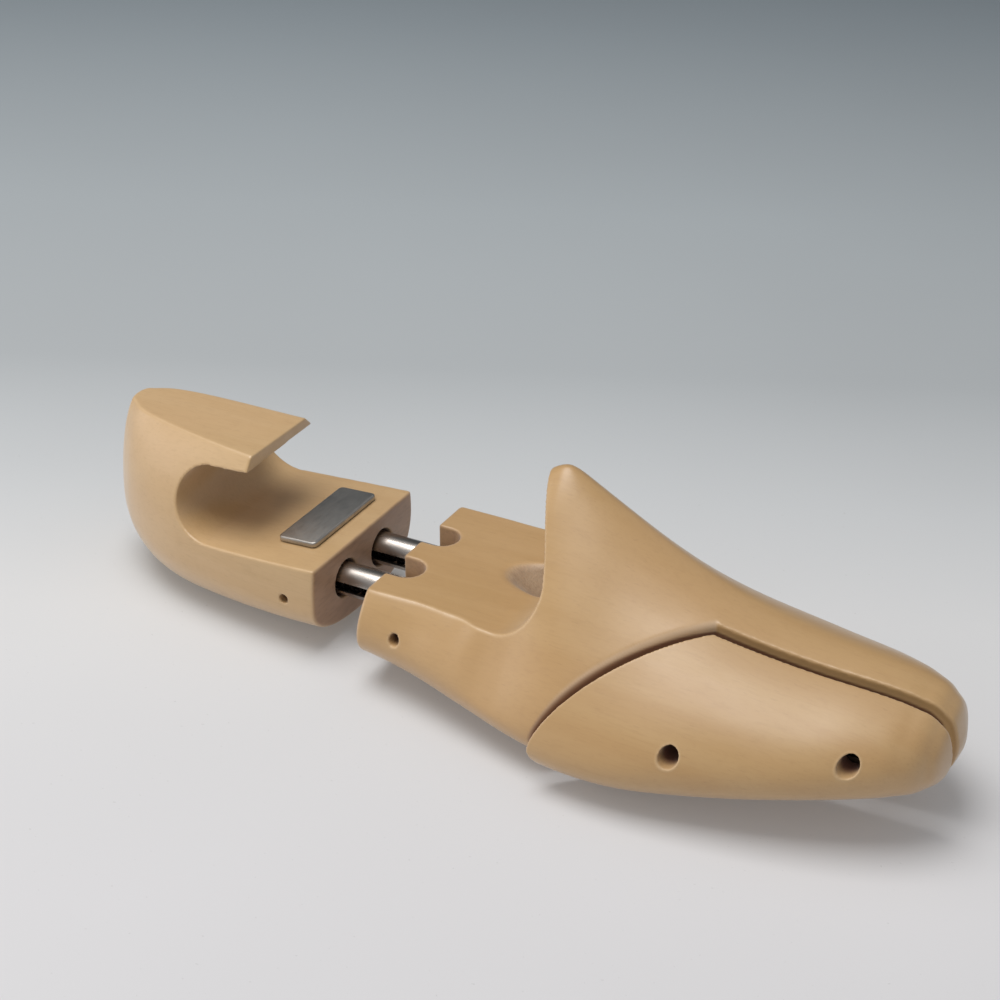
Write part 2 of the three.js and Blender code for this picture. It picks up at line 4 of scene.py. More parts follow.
import bmesh
import bpy
import numpy as np
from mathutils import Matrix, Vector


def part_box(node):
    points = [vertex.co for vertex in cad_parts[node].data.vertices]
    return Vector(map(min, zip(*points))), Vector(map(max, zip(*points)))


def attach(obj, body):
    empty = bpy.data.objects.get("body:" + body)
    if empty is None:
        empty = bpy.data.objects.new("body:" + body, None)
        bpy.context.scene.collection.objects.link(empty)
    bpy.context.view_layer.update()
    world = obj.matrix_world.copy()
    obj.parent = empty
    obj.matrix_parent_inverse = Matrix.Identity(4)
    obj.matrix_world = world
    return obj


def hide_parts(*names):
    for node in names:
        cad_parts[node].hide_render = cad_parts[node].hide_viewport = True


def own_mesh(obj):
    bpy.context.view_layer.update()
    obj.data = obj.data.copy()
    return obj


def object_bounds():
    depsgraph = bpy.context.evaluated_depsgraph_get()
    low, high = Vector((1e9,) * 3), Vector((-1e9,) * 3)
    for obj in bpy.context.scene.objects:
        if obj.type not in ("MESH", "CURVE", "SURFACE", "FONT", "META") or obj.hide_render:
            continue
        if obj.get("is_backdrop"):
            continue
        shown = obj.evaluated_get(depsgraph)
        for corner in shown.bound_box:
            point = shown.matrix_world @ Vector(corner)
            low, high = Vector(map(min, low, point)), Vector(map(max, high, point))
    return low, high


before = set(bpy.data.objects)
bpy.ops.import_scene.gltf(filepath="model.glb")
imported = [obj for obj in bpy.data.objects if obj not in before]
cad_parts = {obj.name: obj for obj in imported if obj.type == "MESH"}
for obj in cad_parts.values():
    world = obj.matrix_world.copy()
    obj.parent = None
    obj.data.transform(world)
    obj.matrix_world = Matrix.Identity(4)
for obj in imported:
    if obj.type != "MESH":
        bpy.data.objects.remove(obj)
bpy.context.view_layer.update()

import openvdb as vdb
from mathutils import Matrix, Vector

# -------------------------------- dimensions
# Millimetres, with the tubes along X at z = 0 and the heel's front face at
# x = 0, as in the CAD source. MODEL_TO_ROW below takes them to the row frame.

HEEL_TOP = 36.5
HEEL_DECK, HEEL_DECK_SLOPE = 11.0, 0.056
SLAB_FRONT = -27.5
GRIP_X, GRIP_REACH, GRIP_ROOF, GRIP_RISE = -40.0, 11.6, 31.6, 0.03
HEEL_BORE_R, HEEL_BORE_END = 6.0, -40.0

FORE_REAR = 16.9
DECK = 9.65
INSTEP_X, INSTEP_R = 58.8, 12.0
INSTEP_BEND = (INSTEP_X + INSTEP_R - 0.9, 28.0)
INSTEP_TIP = (58.5, 50.0)
NOTCH_HALF, NOTCH_TIP, NOTCH_FLOOR = 5.4, 26.5, 1.0
HOLE_TIP, HOLE_Y, HOLE_R, HOLE_DIP, HOLE_LENGTH = 47.5, 2.6, 9.4, math.radians(27), 28.0

TUBE_Y, TUBE_R, TUBE_WALL, TUBE_REAR, TUBE_FRONT = 10.25, 5.0, 1.0, -18.0, 48.0
SLOT_Z, SLOT_HALF = -0.25, 1.6
PIN_R = 1.2
HEEL_PIN = (-10.4, -0.5, -25.0, 24.8)
FORE_PIN = (29.8, 0.0, -28.0, 26.0)
PIN_COUNTERBORE_R, PIN_COUNTERBORE_END = 1.7, -27.0
SEAT_LENGTH = 2.5
GAP = 0.3

WING_CORNER = (117.8, -10.9)
RIDGE_SLOPE = 0.095
WING_REAR = (79.5, -45.0)
WING_OUT = 4.3
WING_SETBACK = 1.1
SCREWS = {
    "rear": dict(x=119.5, z=-1.7, seat=-25.7, pocket=-17.7, back=-4.0, nut=22.0, tail=26.5),
    "front": dict(x=163.2, z=1.6, seat=-16.7, pocket=-11.7, back=-1.0, nut=11.5, tail=16.0),
}
SHANK_R, COUNTERBORE_R, POCKET_R = 2.0, 2.7, 4.0
HEAD_R, HEAD_LENGTH = 2.35, 3.0
WASHER_R, WASHER_THICK = 2.55, 0.8
NUT_R, NUT_LENGTH = 3.6, 5.0
THREAD_PITCH, THREAD_DEPTH, THREAD_LEAD = 0.7, 0.32, 1.5
TUBE_SPRING = dict(diameter=7.2, wire=0.9, turns=11)
WING_SPRING = dict(diameter=7.2, wire=0.8, turns=6)

PLATE_X, PLATE_Y = -13.5, 1.7
PLATE_SIZE = (13.0, 35.0, 1.6)
PLATE_CORNER = 1.6
PLATE_PIN = PLATE_SIZE[1] * 0.36

HEEL_REST = (-45.0, -16.2)
BALL_REST = (92.0, -22.0)
REST_SLOPE = (BALL_REST[1] - HEEL_REST[1]) / (BALL_REST[0] - HEEL_REST[0])
PITCH = math.atan(REST_SLOPE)

# How far the edges of holes are rounded: bores, drilled mouths and the rests.
BORE_EDGE, MOUTH_EDGE, REST_EDGE = 0.05, 0.35, 0.3

# Cross sections of the closed last: station x, then the near, far, top and
# bottom points as y and z, then how full the near and far top quarters and
# the two lower ones are.
FORE_SECTIONS = [
    [8, -32.4, -3, 30.0, 6, 1, 21.0, 0, -13.6, 0.5, 0.42, 0.55, 0.55, 0.68, 0.64],
    [18, -33.0, -3, 30.0, 6, 1, 21.0, 0, -14.3, 0.5, 0.42, 0.55, 0.55, 0.68, 0.64],
    [34, -35.0, -4, 30.2, 5, 1.5, 22.0, 0, -16.3, 0.42, 0.33, 0.55, 0.55, 0.68, 0.64],
    [42, -36.7, -4.9, 30.3, 4.2, 1.7, 22.6, 0, -17.4, 0.35, 0.37, 0.54, 0.54, 0.68, 0.64],
    [50, -38.6, -6, 30.5, 3, 2, 26.5, 0, -18.6, 0.28, 0.31, 0.5, 0.5, 0.68, 0.64],
    [58, -40.5, -7.1, 30.7, 1.4, 2.6, 43.3, 0, -19.6, 0.175, 0.09, 0.34, 0.34, 0.676, 0.64],
    [64, -42.0, -8, 31.0, 0, 3, 48.0, 0, -20.4, 0.16, 0.06, 0.25, 0.25, 0.67, 0.64],
    [78, -45.0, -9.5, 33.0, -4, 3.2, 42.2, 0, -21.7, 0.24, 0.2, 0.22, 0.22, 0.66, 0.64],
    [92, -46.3, -10, 35.5, -6, 3.4, 34.2, 0, -22.3, 0.26, 0.26, 0.2, 0.2, 0.66, 0.64],
    [106, -45.8, -9.5, 37.0, -7, 3.2, 27.0, 0, -22.0, 0.34, 0.3, 0.22, 0.22, 0.66, 0.66],
    [120, -43.1, -8, 37.3, -7, 3.0, 21.7, 0, -20.4, 0.44, 0.36, 0.25, 0.25, 0.67, 0.68],
    [135, -39.4, -6.5, 35.0, -6, 3.0, 17.9, 0, -17.9, 0.48, 0.4, 0.29, 0.29, 0.68, 0.7],
    [150, -34.7, -5, 30.3, -4.5, 3.0, 15.3, 0, -15.2, 0.48, 0.45, 0.33, 0.33, 0.68, 0.7],
    [163, -29.2, -3.8, 24.5, -3, 3.0, 13.8, 0, -13.6, 0.5, 0.5, 0.4, 0.4, 0.66, 0.68],
    [173, -23.4, -3, 18.3, -2.6, 3, 12.0, 1, -12.6, 0.52, 0.52, 0.46, 0.46, 0.64, 0.66],
    [180, -16.6, -3.2, 12.0, -2.6, 2.5, 9.2, 1, -11.4, 0.55, 0.55, 0.5, 0.5, 0.6, 0.6],
    [183.6, -9.6, -3, 7.2, -2.5, 1.5, 4.6, 1, -8.6, 0.55, 0.55, 0.55, 0.55, 0.55, 0.55],
    [185.0, -2.5, -2.4, 2.0, -2.2, 0.5, -0.6, 0.5, -4.6, 0.55, 0.55, 0.55, 0.55, 0.55, 0.55],
]
HEEL_SECTIONS = [
    [-86.2, 2.5, 8.6, 4.5, 8.6, 3.5, 11, 3.5, 6.4, 0.55, 0.55, 0.55, 0.55, 0.55, 0.55],
    [-85.2, -2.4, 8.5, 9.5, 8.3, 3.5, 26, 3, 1.2, 0.55, 0.55, 0.55, 0.55, 0.55, 0.55],
    [-83.4, -6.8, 8.2, 13.0, 7.6, 3.5, 35.5, 3, -3.0, 0.55, 0.55, 0.55, 0.55, 0.55, 0.55],
    [-80, -11.8, 7, 16.8, 6.4, 3.2, 39.3, 2.5, -7.0, 0.55, 0.55, 0.55, 0.55, 0.55, 0.55],
    [-75, -16.0, 5.2, 20.4, 5.2, 2.8, 40.8, 2, -10.8, 0.55, 0.55, 0.48, 0.55, 0.57, 0.57],
    [-67, -20.5, 3, 24.2, 4.2, 2.2, 41.3, 1.5, -14.2, 0.55, 0.55, 0.43, 0.55, 0.6, 0.6],
    [-55, -24.6, 1, 26.8, 4, 1.2, 42.0, 1, -16.2, 0.55, 0.55, 0.37, 0.55, 0.62, 0.62],
    [-40, -27.0, 0, 27.8, 4, -0.5, 43.0, 0.5, -16.5, 0.55, 0.55, 0.34, 0.55, 0.64, 0.62],
    [-25, -28.3, -1, 28.2, 4, -2.0, 44.0, 0, -15.9, 0.55, 0.55, 0.33, 0.55, 0.66, 0.62],
    [-10, -28.7, -2, 28.4, 5, -2.5, 45.5, 0, -15.0, 0.55, 0.55, 0.33, 0.55, 0.68, 0.62],
    [2, -28.6, -2, 28.4, 6, -2.5, 47, 0, -14.0, 0.55, 0.55, 0.33, 0.55, 0.7, 0.62],
]


# -------------------------------- frame and tools

def model_to_row():
    """Tips the model onto its two rests and sets it over the row's origin."""
    turn = Matrix.Rotation(PITCH, 4, "Y")
    low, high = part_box("tube_near")
    middle = turn @ Vector(((TUBE_REAR + TUBE_FRONT) / 2, -TUBE_Y, 0))
    floor = turn @ Vector((HEEL_REST[0], 0, HEEL_REST[1]))
    shift = (low + high) / 2 - middle * 0.001
    shift.z = -floor.z * 0.001
    return Matrix.Translation(shift) @ turn @ Matrix.Scale(0.001, 4)


MODEL_TO_ROW = model_to_row()
TURN = MODEL_TO_ROW.to_3x3().normalized()


def to_row(points):
    m = np.array(MODEL_TO_ROW)
    return np.asarray(points, float) @ m[:3, :3].T + m[:3, 3]


def link_object(name, data):
    obj = bpy.data.objects.new(name, data)
    bpy.context.scene.collection.objects.link(obj)
    return obj


def make_object(name, points, faces, smooth=True):
    """A mesh object from model-frame points in mm."""
    mesh = bpy.data.meshes.new(name)
    mesh.from_pydata(to_row(points).tolist(), [], [list(map(int, f)) for f in faces])
    mesh.validate()
    if smooth:
        mesh.shade_smooth()
    return link_object(name, mesh)


def make_dense_object(name, points, quads):
    """The same for large quad meshes, filled straight from arrays."""
    mesh = bpy.data.meshes.new(name)
    mesh.vertices.add(len(points))
    mesh.vertices.foreach_set("co", to_row(points).astype(np.float32).ravel())
    mesh.loops.add(quads.size)
    mesh.loops.foreach_set("vertex_index", quads.astype(np.int32).ravel())
    mesh.polygons.add(len(quads))
    mesh.polygons.foreach_set("loop_start", np.arange(0, quads.size, 4, dtype=np.int32))
    mesh.update(calc_edges=True)
    mesh.validate()
    mesh.shade_smooth()
    return link_object(name, mesh)


# -------------------------------- the last

def column_slopes(rows):
    step = (rows[1:] - rows[:-1]) / (rows[1:, :1] - rows[:-1, :1])
    span = np.diff(rows[:, 0])[:, None]
    inner = (step[:-1] * span[1:] + step[1:] * span[:-1]) / (span[1:] + span[:-1])
    return np.vstack([step[:1], inner, step[-1:]])


def sections_at(rows, xs):
    slopes = column_slopes(rows)
    i = np.clip(np.searchsorted(rows[:, 0], xs, side="right") - 1, 0, len(rows) - 2)
    span = (rows[i + 1, 0] - rows[i, 0])[:, None]
    t = (xs[:, None] - rows[i, :1]) / span
    return ((2 * t**3 - 3 * t**2 + 1) * rows[i] + (t**3 - 2 * t**2 + t) * span * slopes[i]
            + (3 * t**2 - 2 * t**3) * rows[i + 1] + (t**3 - t**2) * span * slopes[i + 1])


def fair(xs, sections, sigma, low, high, ease):
    """Evens out small waves along the length, away from the two ends."""
    out = sections.copy()
    for k, x in enumerate(xs):
        weight = min(1.0, max(0.0, (x - low) / ease), max(0.0, (high - x) / ease))
        if weight <= 0:
            continue
        g = np.exp(-0.5 * ((xs - x) / sigma) ** 2)
        g *= np.gradient(xs)
        mean = (g[:, None] * sections).sum(0) / g.sum()
        lean = (g * xs).sum() / g.sum() - x
        before, after = max(k - 1, 0), min(k + 1, len(xs) - 1)
        slope = (sections[after] - sections[before]) / (xs[after] - xs[before])
        out[k, 1:] = (sections[k] + (mean - slope * lean - sections[k]) * weight)[1:]
    return out


def ring_points(section, per_quarter):
    x, yn, zn, yf, zf, yt, zt, yb, zb, ktn, ksn, ktf, ksf, side, sole = section

    def mix(a, b, k):
        return a + (b - a) * k

    quarters = [
        [(yt, zt), (mix(yt, yn, ktn), zt), (yn, mix(zn, zt, ksn)), (yn, zn)],
        [(yn, zn), (yn, mix(zn, zb, side)), (mix(yb, yn, sole), zb), (yb, zb)],
        [(yb, zb), (mix(yb, yf, sole), zb), (yf, mix(zf, zb, side)), (yf, zf)],
        [(yf, zf), (yf, mix(zf, zt, ksf)), (mix(yt, yf, ktf), zt), (yt, zt)],
    ]
    t = (np.arange(per_quarter) / per_quarter)[:, None]
    ring = []
    for corner in quarters:
        p = np.array(corner, float)
        ring.append((1 - t)**3 * p[0] + 3 * (1 - t)**2 * t * p[1] + 3 * (1 - t) * t**2 * p[2] + t**3 * p[3])
    yz = np.vstack(ring)
    return np.hstack([np.full((len(yz), 1), x), yz])


def last_skin(sections, per_quarter=28):
    """Closed triangle skin over the given sections."""
    rings = [ring_points(s, per_quarter) for s in sections]
    n = len(rings[0])
    points = np.vstack(rings + [rings[0].mean(0), rings[-1].mean(0)])
    tris = []
    k = np.arange(n)
    k2 = (k + 1) % n
    for r in range(len(rings) - 1):
        a, b = r * n + k, r * n + k2
        tris.append(np.stack([a, b, a + n], 1))
        tris.append(np.stack([b, b + n, a + n], 1))
    end = (len(rings) - 1) * n
    tris.append(np.stack([np.full(n, len(points) - 2), k2, k], 1))
    tris.append(np.stack([np.full(n, len(points) - 1), end + k, end + k2], 1))
    return points, np.vstack(tris)


# -------------------------------- solids as distance fields

class Field:
    """A box of evenly spaced points that holds signed distances in mm."""

    def __init__(self, low, high, step):
        self.step = step
        self.first = np.floor(np.array(low) / step).astype(int)
        self.size = np.ceil(np.array(high) / step).astype(int) - self.first + 1
        axes = [(self.first[i] + np.arange(self.size[i])) * step for i in range(3)]
        self.x, self.y, self.z = (a.astype(np.float32) for a in np.ix_(*axes))
        self.edges = np.zeros(tuple(self.size), np.float32)
        self.sanded_and_highlit = np.zeros((1, 1, 1), np.float32)

    def cut(self, body, tool, radius, mark=0.0):
        """body without tool, its new edges rounded by radius and marked for the pale edge colour, rubbed
        lacquer plus a painted highlight.
        """
        if mark:
            near = 1 - np.sqrt(body ** 2 + tool ** 2) / (radius + mark)
            self.edges = np.maximum(self.edges, near)
        other = -tool
        inner = np.minimum(-radius, np.maximum(body, other))
        return inner + np.sqrt(np.maximum(body + radius, 0) ** 2 + np.maximum(other + radius, 0) ** 2)

    def from_skin(self, points, tris, band=5.0):
        transform = vdb.createLinearTransform(voxelSize=self.step)
        grid = vdb.FloatGrid.createLevelSetFromPolygons(
            points.astype(np.float32), triangles=tris.astype(np.uint32),
            transform=transform, halfWidth=band / self.step)
        values = np.zeros(tuple(self.size), np.float32)
        grid.copyToArray(values, ijk=tuple(int(v) for v in self.first))
        return values

    def mesh(self, values):
        limit = 3 * self.step
        grid = vdb.FloatGrid(limit)
        grid.copyFromArray(np.clip(values, -limit, limit).astype(np.float32),
                           ijk=tuple(int(v) for v in self.first))
        grid.transform = vdb.createLinearTransform(voxelSize=self.step)
        points, quads = grid.convertToQuads(0.0)
        corners = points[quads].astype(float)
        normals = np.cross(corners[:, 2] - corners[:, 0], corners[:, 3] - corners[:, 1])
        if (corners.mean(1) * normals).sum() < 0:
            quads = quads[:, ::-1]
        return relax(points.astype(float), quads), quads


def relax(points, quads, rounds=2, weight=0.5):
    """Evens out grid steps by moving points towards their neighbours."""
    points = points.copy()
    edges = np.vstack([quads[:, [0, 1]], quads[:, [1, 2]], quads[:, [2, 3]], quads[:, [3, 0]]])
    ends = np.concatenate([edges[:, 0], edges[:, 1]])
    others = np.concatenate([edges[:, 1], edges[:, 0]])
    count = np.bincount(ends, minlength=len(points))[:, None]
    for sign in (1.0, -1.04) * rounds:
        mean = np.stack([np.bincount(ends, points[others, k], len(points)) for k in range(3)], 1) / count
        points += sign * weight * (mean - points)
    return points


def blur(values, sigma):
    """Gaussian smoothing, sigma in grid steps."""
    reach = int(math.ceil(3 * sigma))
    kernel = np.exp(-0.5 * (np.arange(-reach, reach + 1) / sigma) ** 2)
    kernel /= kernel.sum()
    for axis in range(3):
        padded = np.pad(values, [(reach, reach) if a == axis else (0, 0) for a in range(3)], mode="edge")
        total = np.zeros_like(values)
        for k, w in enumerate(kernel):
            cut = [slice(None)] * 3
            cut[axis] = slice(k, k + values.shape[axis])
            total += np.float32(w) * padded[tuple(cut)]
        values = total
    return values


def smooth_step(low, high, v):
    t = np.clip((v - low) / (high - low), 0, 1)
    return t * t * (3 - 2 * t)


def outline_distance(outline, u, v):
    """Signed distance from points to a closed outline, negative inside."""
    p = np.array(outline, float)
    q = np.roll(p, -1, 0)
    best = np.full(np.broadcast(u, v).shape, 1e9)
    inside = np.zeros(best.shape, bool)
    for (ax, ay), (bx, by) in zip(p, q):
        ex, ey = bx - ax, by - ay
        length = ex * ex + ey * ey
        if length < 1e-12:
            continue
        t = np.clip(((u - ax) * ex + (v - ay) * ey) / length, 0, 1)
        best = np.minimum(best, (u - ax - t * ex) ** 2 + (v - ay - t * ey) ** 2)
        if ay != by:
            crosses = ((ay > v) != (by > v)) & (u < ex * (v - ay) / ey + ax)
            inside ^= crosses
    return np.where(inside, -np.sqrt(best), np.sqrt(best)).astype(np.float32)


def outline_xz(field, outline):
    u, v = field.x[:, 0, :], field.z[0, :, :].reshape(1, -1)
    return outline_distance(outline, u, v)[:, None, :]


def outline_xy(field, outline):
    u, v = field.x[:, :, 0], field.y[0, :, 0][None, :]
    return outline_distance(outline, u, v)[:, :, None]


def arc(cx, cy, rx, ry, start, end, count):
    a = np.radians(np.linspace(start, end, count + 1))
    return [(cx + rx * math.cos(t), cy + ry * math.sin(t)) for t in a]


def rod(u, v, along, radius, low, high):
    """Signed distance to a round rod about the line u = v = 0."""
    return np.maximum(np.sqrt(u ** 2 + v ** 2) - radius, np.maximum(low - along, along - high))


def rod_y(field, x, z, radius, low=-999.0, high=999.0):
    return rod(field.x - x, field.z - z, field.y, radius, low, high)


def rod_x(field, y, z, radius, low, high):
    return rod(field.y - y, field.z - z, field.x, radius, low, high)


def union(first, *others):
    """The space that any of the given distance fields fills."""
    for other in others:
        first = np.minimum(first, other)
    return first


def below_floor(field):
    """Signed height under the plane through the two rests."""
    height = HEEL_REST[1] + REST_SLOPE * (field.x - HEEL_REST[0])
    return (field.z - height) / math.hypot(1, REST_SLOPE)


def fore_skin():
    rows = np.array(FORE_SECTIONS, float)
    xs = np.unique(np.concatenate([np.linspace(FORE_REAR - 7, 176, 170), np.linspace(176, 185, 31)]))
    sections = fair(xs, sections_at(rows, xs), 4.0, 66, 172, 8)
    return last_skin(sections)


def heel_skin():
    rows = np.array(HEEL_SECTIONS, float)
    xs = np.unique(np.concatenate([np.linspace(-86.2, -78, 34), np.linspace(-78, 2, 82)]))
    sections = fair(xs, sections_at(rows, xs), 3.0, -82, -4, 4)
    return last_skin(sections)


def wing_outline(setback, inset):
    slope = (WING_CORNER[1] - WING_REAR[1]) / (WING_CORNER[0] - WING_REAR[0])

    def ridge(x):
        return WING_CORNER[1] - inset + RIDGE_SLOPE * (x - WING_CORNER[0])

    def rear(y):
        return WING_CORNER[0] + setback + (y - WING_CORNER[1]) / slope

    corner = rear(ridge(WING_CORNER[0]))
    return [(corner, ridge(corner)), (rear(-90), -90), (215, -90), (215, ridge(215))]


def wing_walls(field):
    """Distances to the wing seat's rear wall and to the ridge's wall."""
    dx, dy = WING_CORNER[0] - WING_REAR[0], WING_CORNER[1] - WING_REAR[1]
    x, y = field.x - WING_CORNER[0], field.y - WING_CORNER[1]
    behind = (y * dx - x * dy) / math.hypot(dx, dy)
    beyond = (y - RIDGE_SLOPE * x) / math.hypot(1, RIDGE_SLOPE)
    return behind, beyond


def finger_hole(field):
    """Distance to the slanted drill that leaves the finger hole."""
    c, s = math.cos(HOLE_DIP), math.sin(HOLE_DIP)
    dx, dz = field.x - HOLE_TIP, field.z - DECK
    along = dx * c - dz * s
    up = dx * s + dz * c
    side = np.sqrt((up - HOLE_R) ** 2 + (field.y - HOLE_Y) ** 2) - HOLE_R
    ends = np.maximum(along - HOLE_LENGTH, -30 - along)
    return np.maximum(side, ends)


def sample(field, values, points):
    """Values of a field at mesh points, blended from the corners around."""
    g = points / field.step - field.first
    i = np.clip(np.floor(g).astype(int), 0, field.size - 2)
    t = g - i
    out = np.zeros(len(points))
    for corner in itertools.product((0, 1), repeat=3):
        weight = np.abs(1 - np.array(corner) - t).prod(1)
        out += weight * np.broadcast_to(values, field.size)[tuple((i + corner).T)]
    return out


# -------------------------------- wooden pieces

# Heights over the last's surface, in mm, across which each mask fades in.
SEAM_SHADE_FADE, BORE_SHADE_FADE, SAWN_BOUNCE_LIT_FADE, HOLLOW_FADE = (-3.1, -3.7), (-1.2, -4.6), (-0.8, -2.4), (0.5, -3.0)


def finish_wood(name, field, body, skin, drilled, shift=(0, 0, 0), endgrain=None, rough=None,
                sawn_and_bounce_lit=None, mate_shift=None):
    """Meshes a wooden field and stores the masks its material reads."""
    points, quads = field.mesh(body)
    obj = make_dense_object(name, points + np.array(shift, float), quads)

    def read(values):
        return sample(field, values, points)

    def on_wall(values, reach=0.7):
        """1 on a cutter's wall, falling to 0 at reach mm from it."""
        if values is None:
            return np.zeros(len(points))
        return np.clip(1 - np.abs(read(values)) / reach, 0, 1)

    depth = read(skin)
    on_rough, on_bore, on_seat = on_wall(rough), on_wall(drilled), on_wall(sawn_and_bounce_lit, 0.8)
    # Painted shade: the seat's walls are darkened where they lie deep in the gap beside the wing, where
    # little light reaches.
    seam_shade = np.zeros(len(points))
    if mate_shift is not None:
        low, high = (field.first + 1) * field.step, (field.first + field.size - 2) * field.step
        under_mate = sample(field, skin, np.clip(points + np.array(mate_shift), low, high))
        seam_shade = on_seat * smooth_step(*SEAM_SHADE_FADE, under_mate)
    masks = dict(
        endgrain=on_wall(endgrain),
        rough=np.maximum(on_rough, on_bore),
        # Painted shade: the walls of bores darken the deeper they lie under the surface.
        drilled=on_bore * smooth_step(*BORE_SHADE_FADE, depth),
        seam_shade=seam_shade,
        sanded_and_highlit=np.clip(read(field.sanded_and_highlit), 0, 1),
        # Bare sawn walls, their tone lightened as painted light that stands in for light bouncing in the
        # gap.
        sawn_and_bounce_lit=on_seat * smooth_step(*SAWN_BOUNCE_LIT_FADE, depth),
        hollow=on_rough * smooth_step(*HOLLOW_FADE, depth),
        edge=np.clip(read(field.edges) * 1.6, 0, 1))
    for mask, values in masks.items():
        layer = obj.data.attributes.new(mask, "FLOAT", "POINT")
        layer.data.foreach_set("value", np.asarray(values, np.float32))
    return obj


def forepart_piece(step):
    field = Field((FORE_REAR - 3, -50, -25), (188, 41, 54), step)
    skin = blur(field.from_skin(*fore_skin()), 0.7 / step)
    rear = field.x - FORE_REAR
    body = field.cut(skin, rear, 0.9, -0.1)
    top = [(0, DECK), (INSTEP_X, DECK)]
    top += arc(INSTEP_X, DECK + INSTEP_R, INSTEP_R, INSTEP_R, -90, 0, 24)[1:]
    foot = (INSTEP_X + INSTEP_R, DECK + INSTEP_R)
    for k in np.linspace(0, 1, 20)[1:]:
        top.append(tuple((1 - k)**2 * a + 2 * (1 - k) * k * b + k**2 * c
                         for a, b, c in zip(foot, INSTEP_BEND, INSTEP_TIP)))
    top += [(INSTEP_TIP[0] - 2, 75), (0, 75)]
    body = field.cut(body, outline_xz(field, top), 0.45, 0.15)
    behind, beyond = wing_walls(field)
    seat = np.maximum(behind, beyond)
    # The band on the seat's rounded rear edge is sanded wood, drawn paler with a painted highlight.
    sanded_and_highlit = smooth_step(-16, 12, field.z) * (behind > beyond)
    body = field.cut(body, seat, 0.35 + 1.1 * sanded_and_highlit)
    field.sanded_and_highlit = np.clip((0.2 + 1.1 * sanded_and_highlit - seat) / 0.35, 0, 1) * np.clip(sanded_and_highlit * 4, 0, 1)
    # Pale line along the ridge edge: a painted highlight where the edge catches the light.
    ridge = np.where(beyond > behind, np.sqrt(skin ** 2 + seat ** 2), 9)
    field.edges = np.maximum(field.edges, 0.45 - ridge * 0.8)
    hole = finger_hole(field)
    body = field.cut(body, hole, 1.3)
    bores, notches = [], []
    for y in (-TUBE_Y, TUBE_Y):
        notch = [(0, y - NOTCH_HALF), (NOTCH_TIP - NOTCH_HALF, y - NOTCH_HALF)]
        notch += arc(NOTCH_TIP - NOTCH_HALF, y, NOTCH_HALF, NOTCH_HALF, -90, 90, 24)[1:]
        notch += [(0, y + NOTCH_HALF)]
        notches.append(np.maximum(outline_xy(field, notch), NOTCH_FLOOR - field.z))
        body = field.cut(body, notches[-1], MOUTH_EDGE, 0.25)
        bores.append(rod_x(field, y, 0, TUBE_R + GAP, 0, TUBE_FRONT + GAP))
        body = field.cut(body, bores[-1], BORE_EDGE)
    holes = rod_y(field, *FORE_PIN[:2], PIN_R + GAP)
    mouth = rod_y(field, *FORE_PIN[:2], PIN_COUNTERBORE_R, high=PIN_COUNTERBORE_END)
    body = field.cut(body, mouth, MOUTH_EDGE, 0.3)
    body = field.cut(body, holes, BORE_EDGE)
    drilled = union(holes, mouth, *bores)
    for s in SCREWS.values():
        through = rod_y(field, s["x"], s["z"], SHANK_R + GAP)
        pocket = rod_y(field, s["x"], s["z"], POCKET_R, high=s["back"])
        far = rod_y(field, s["x"], s["z"], POCKET_R, low=s["nut"])
        body = field.cut(body, union(through, pocket), BORE_EDGE)
        body = field.cut(body, far, 0.4, 0.3)
        drilled = union(drilled, through, pocket, far)
    body = field.cut(body, below_floor(field), REST_EDGE)
    ends = np.minimum(np.abs(rear), np.abs(union(*notches)))
    return finish_wood("forepart_wood", field, body, skin, drilled, endgrain=ends, rough=hole,
                       sawn_and_bounce_lit=seat, mate_shift=(0, WING_OUT, 0))


def wing_piece(step):
    field = Field((76, -50, -25), (188, 3, 30), step)
    skin = blur(field.from_skin(*fore_skin()), 0.7 / step)
    keep = outline_xy(field, wing_outline(WING_SETBACK, GAP))
    body = field.cut(skin, -keep, 0.3, 0.1)
    drilled = []
    for s in SCREWS.values():
        through = rod_y(field, s["x"], s["z"], SHANK_R + GAP)
        mouth = rod_y(field, s["x"], s["z"], COUNTERBORE_R, high=s["seat"])
        pocket = rod_y(field, s["x"], s["z"], POCKET_R, low=s["pocket"])
        body = field.cut(body, mouth, MOUTH_EDGE, 0.35)
        body = field.cut(body, union(through, pocket), BORE_EDGE)
        drilled += [mouth, through, pocket]
    body = field.cut(body, below_floor(field), REST_EDGE)
    return finish_wood("toe_wing_wood", field, body, skin, union(*drilled), shift=(0, -WING_OUT, 0),
                       sawn_and_bounce_lit=keep)


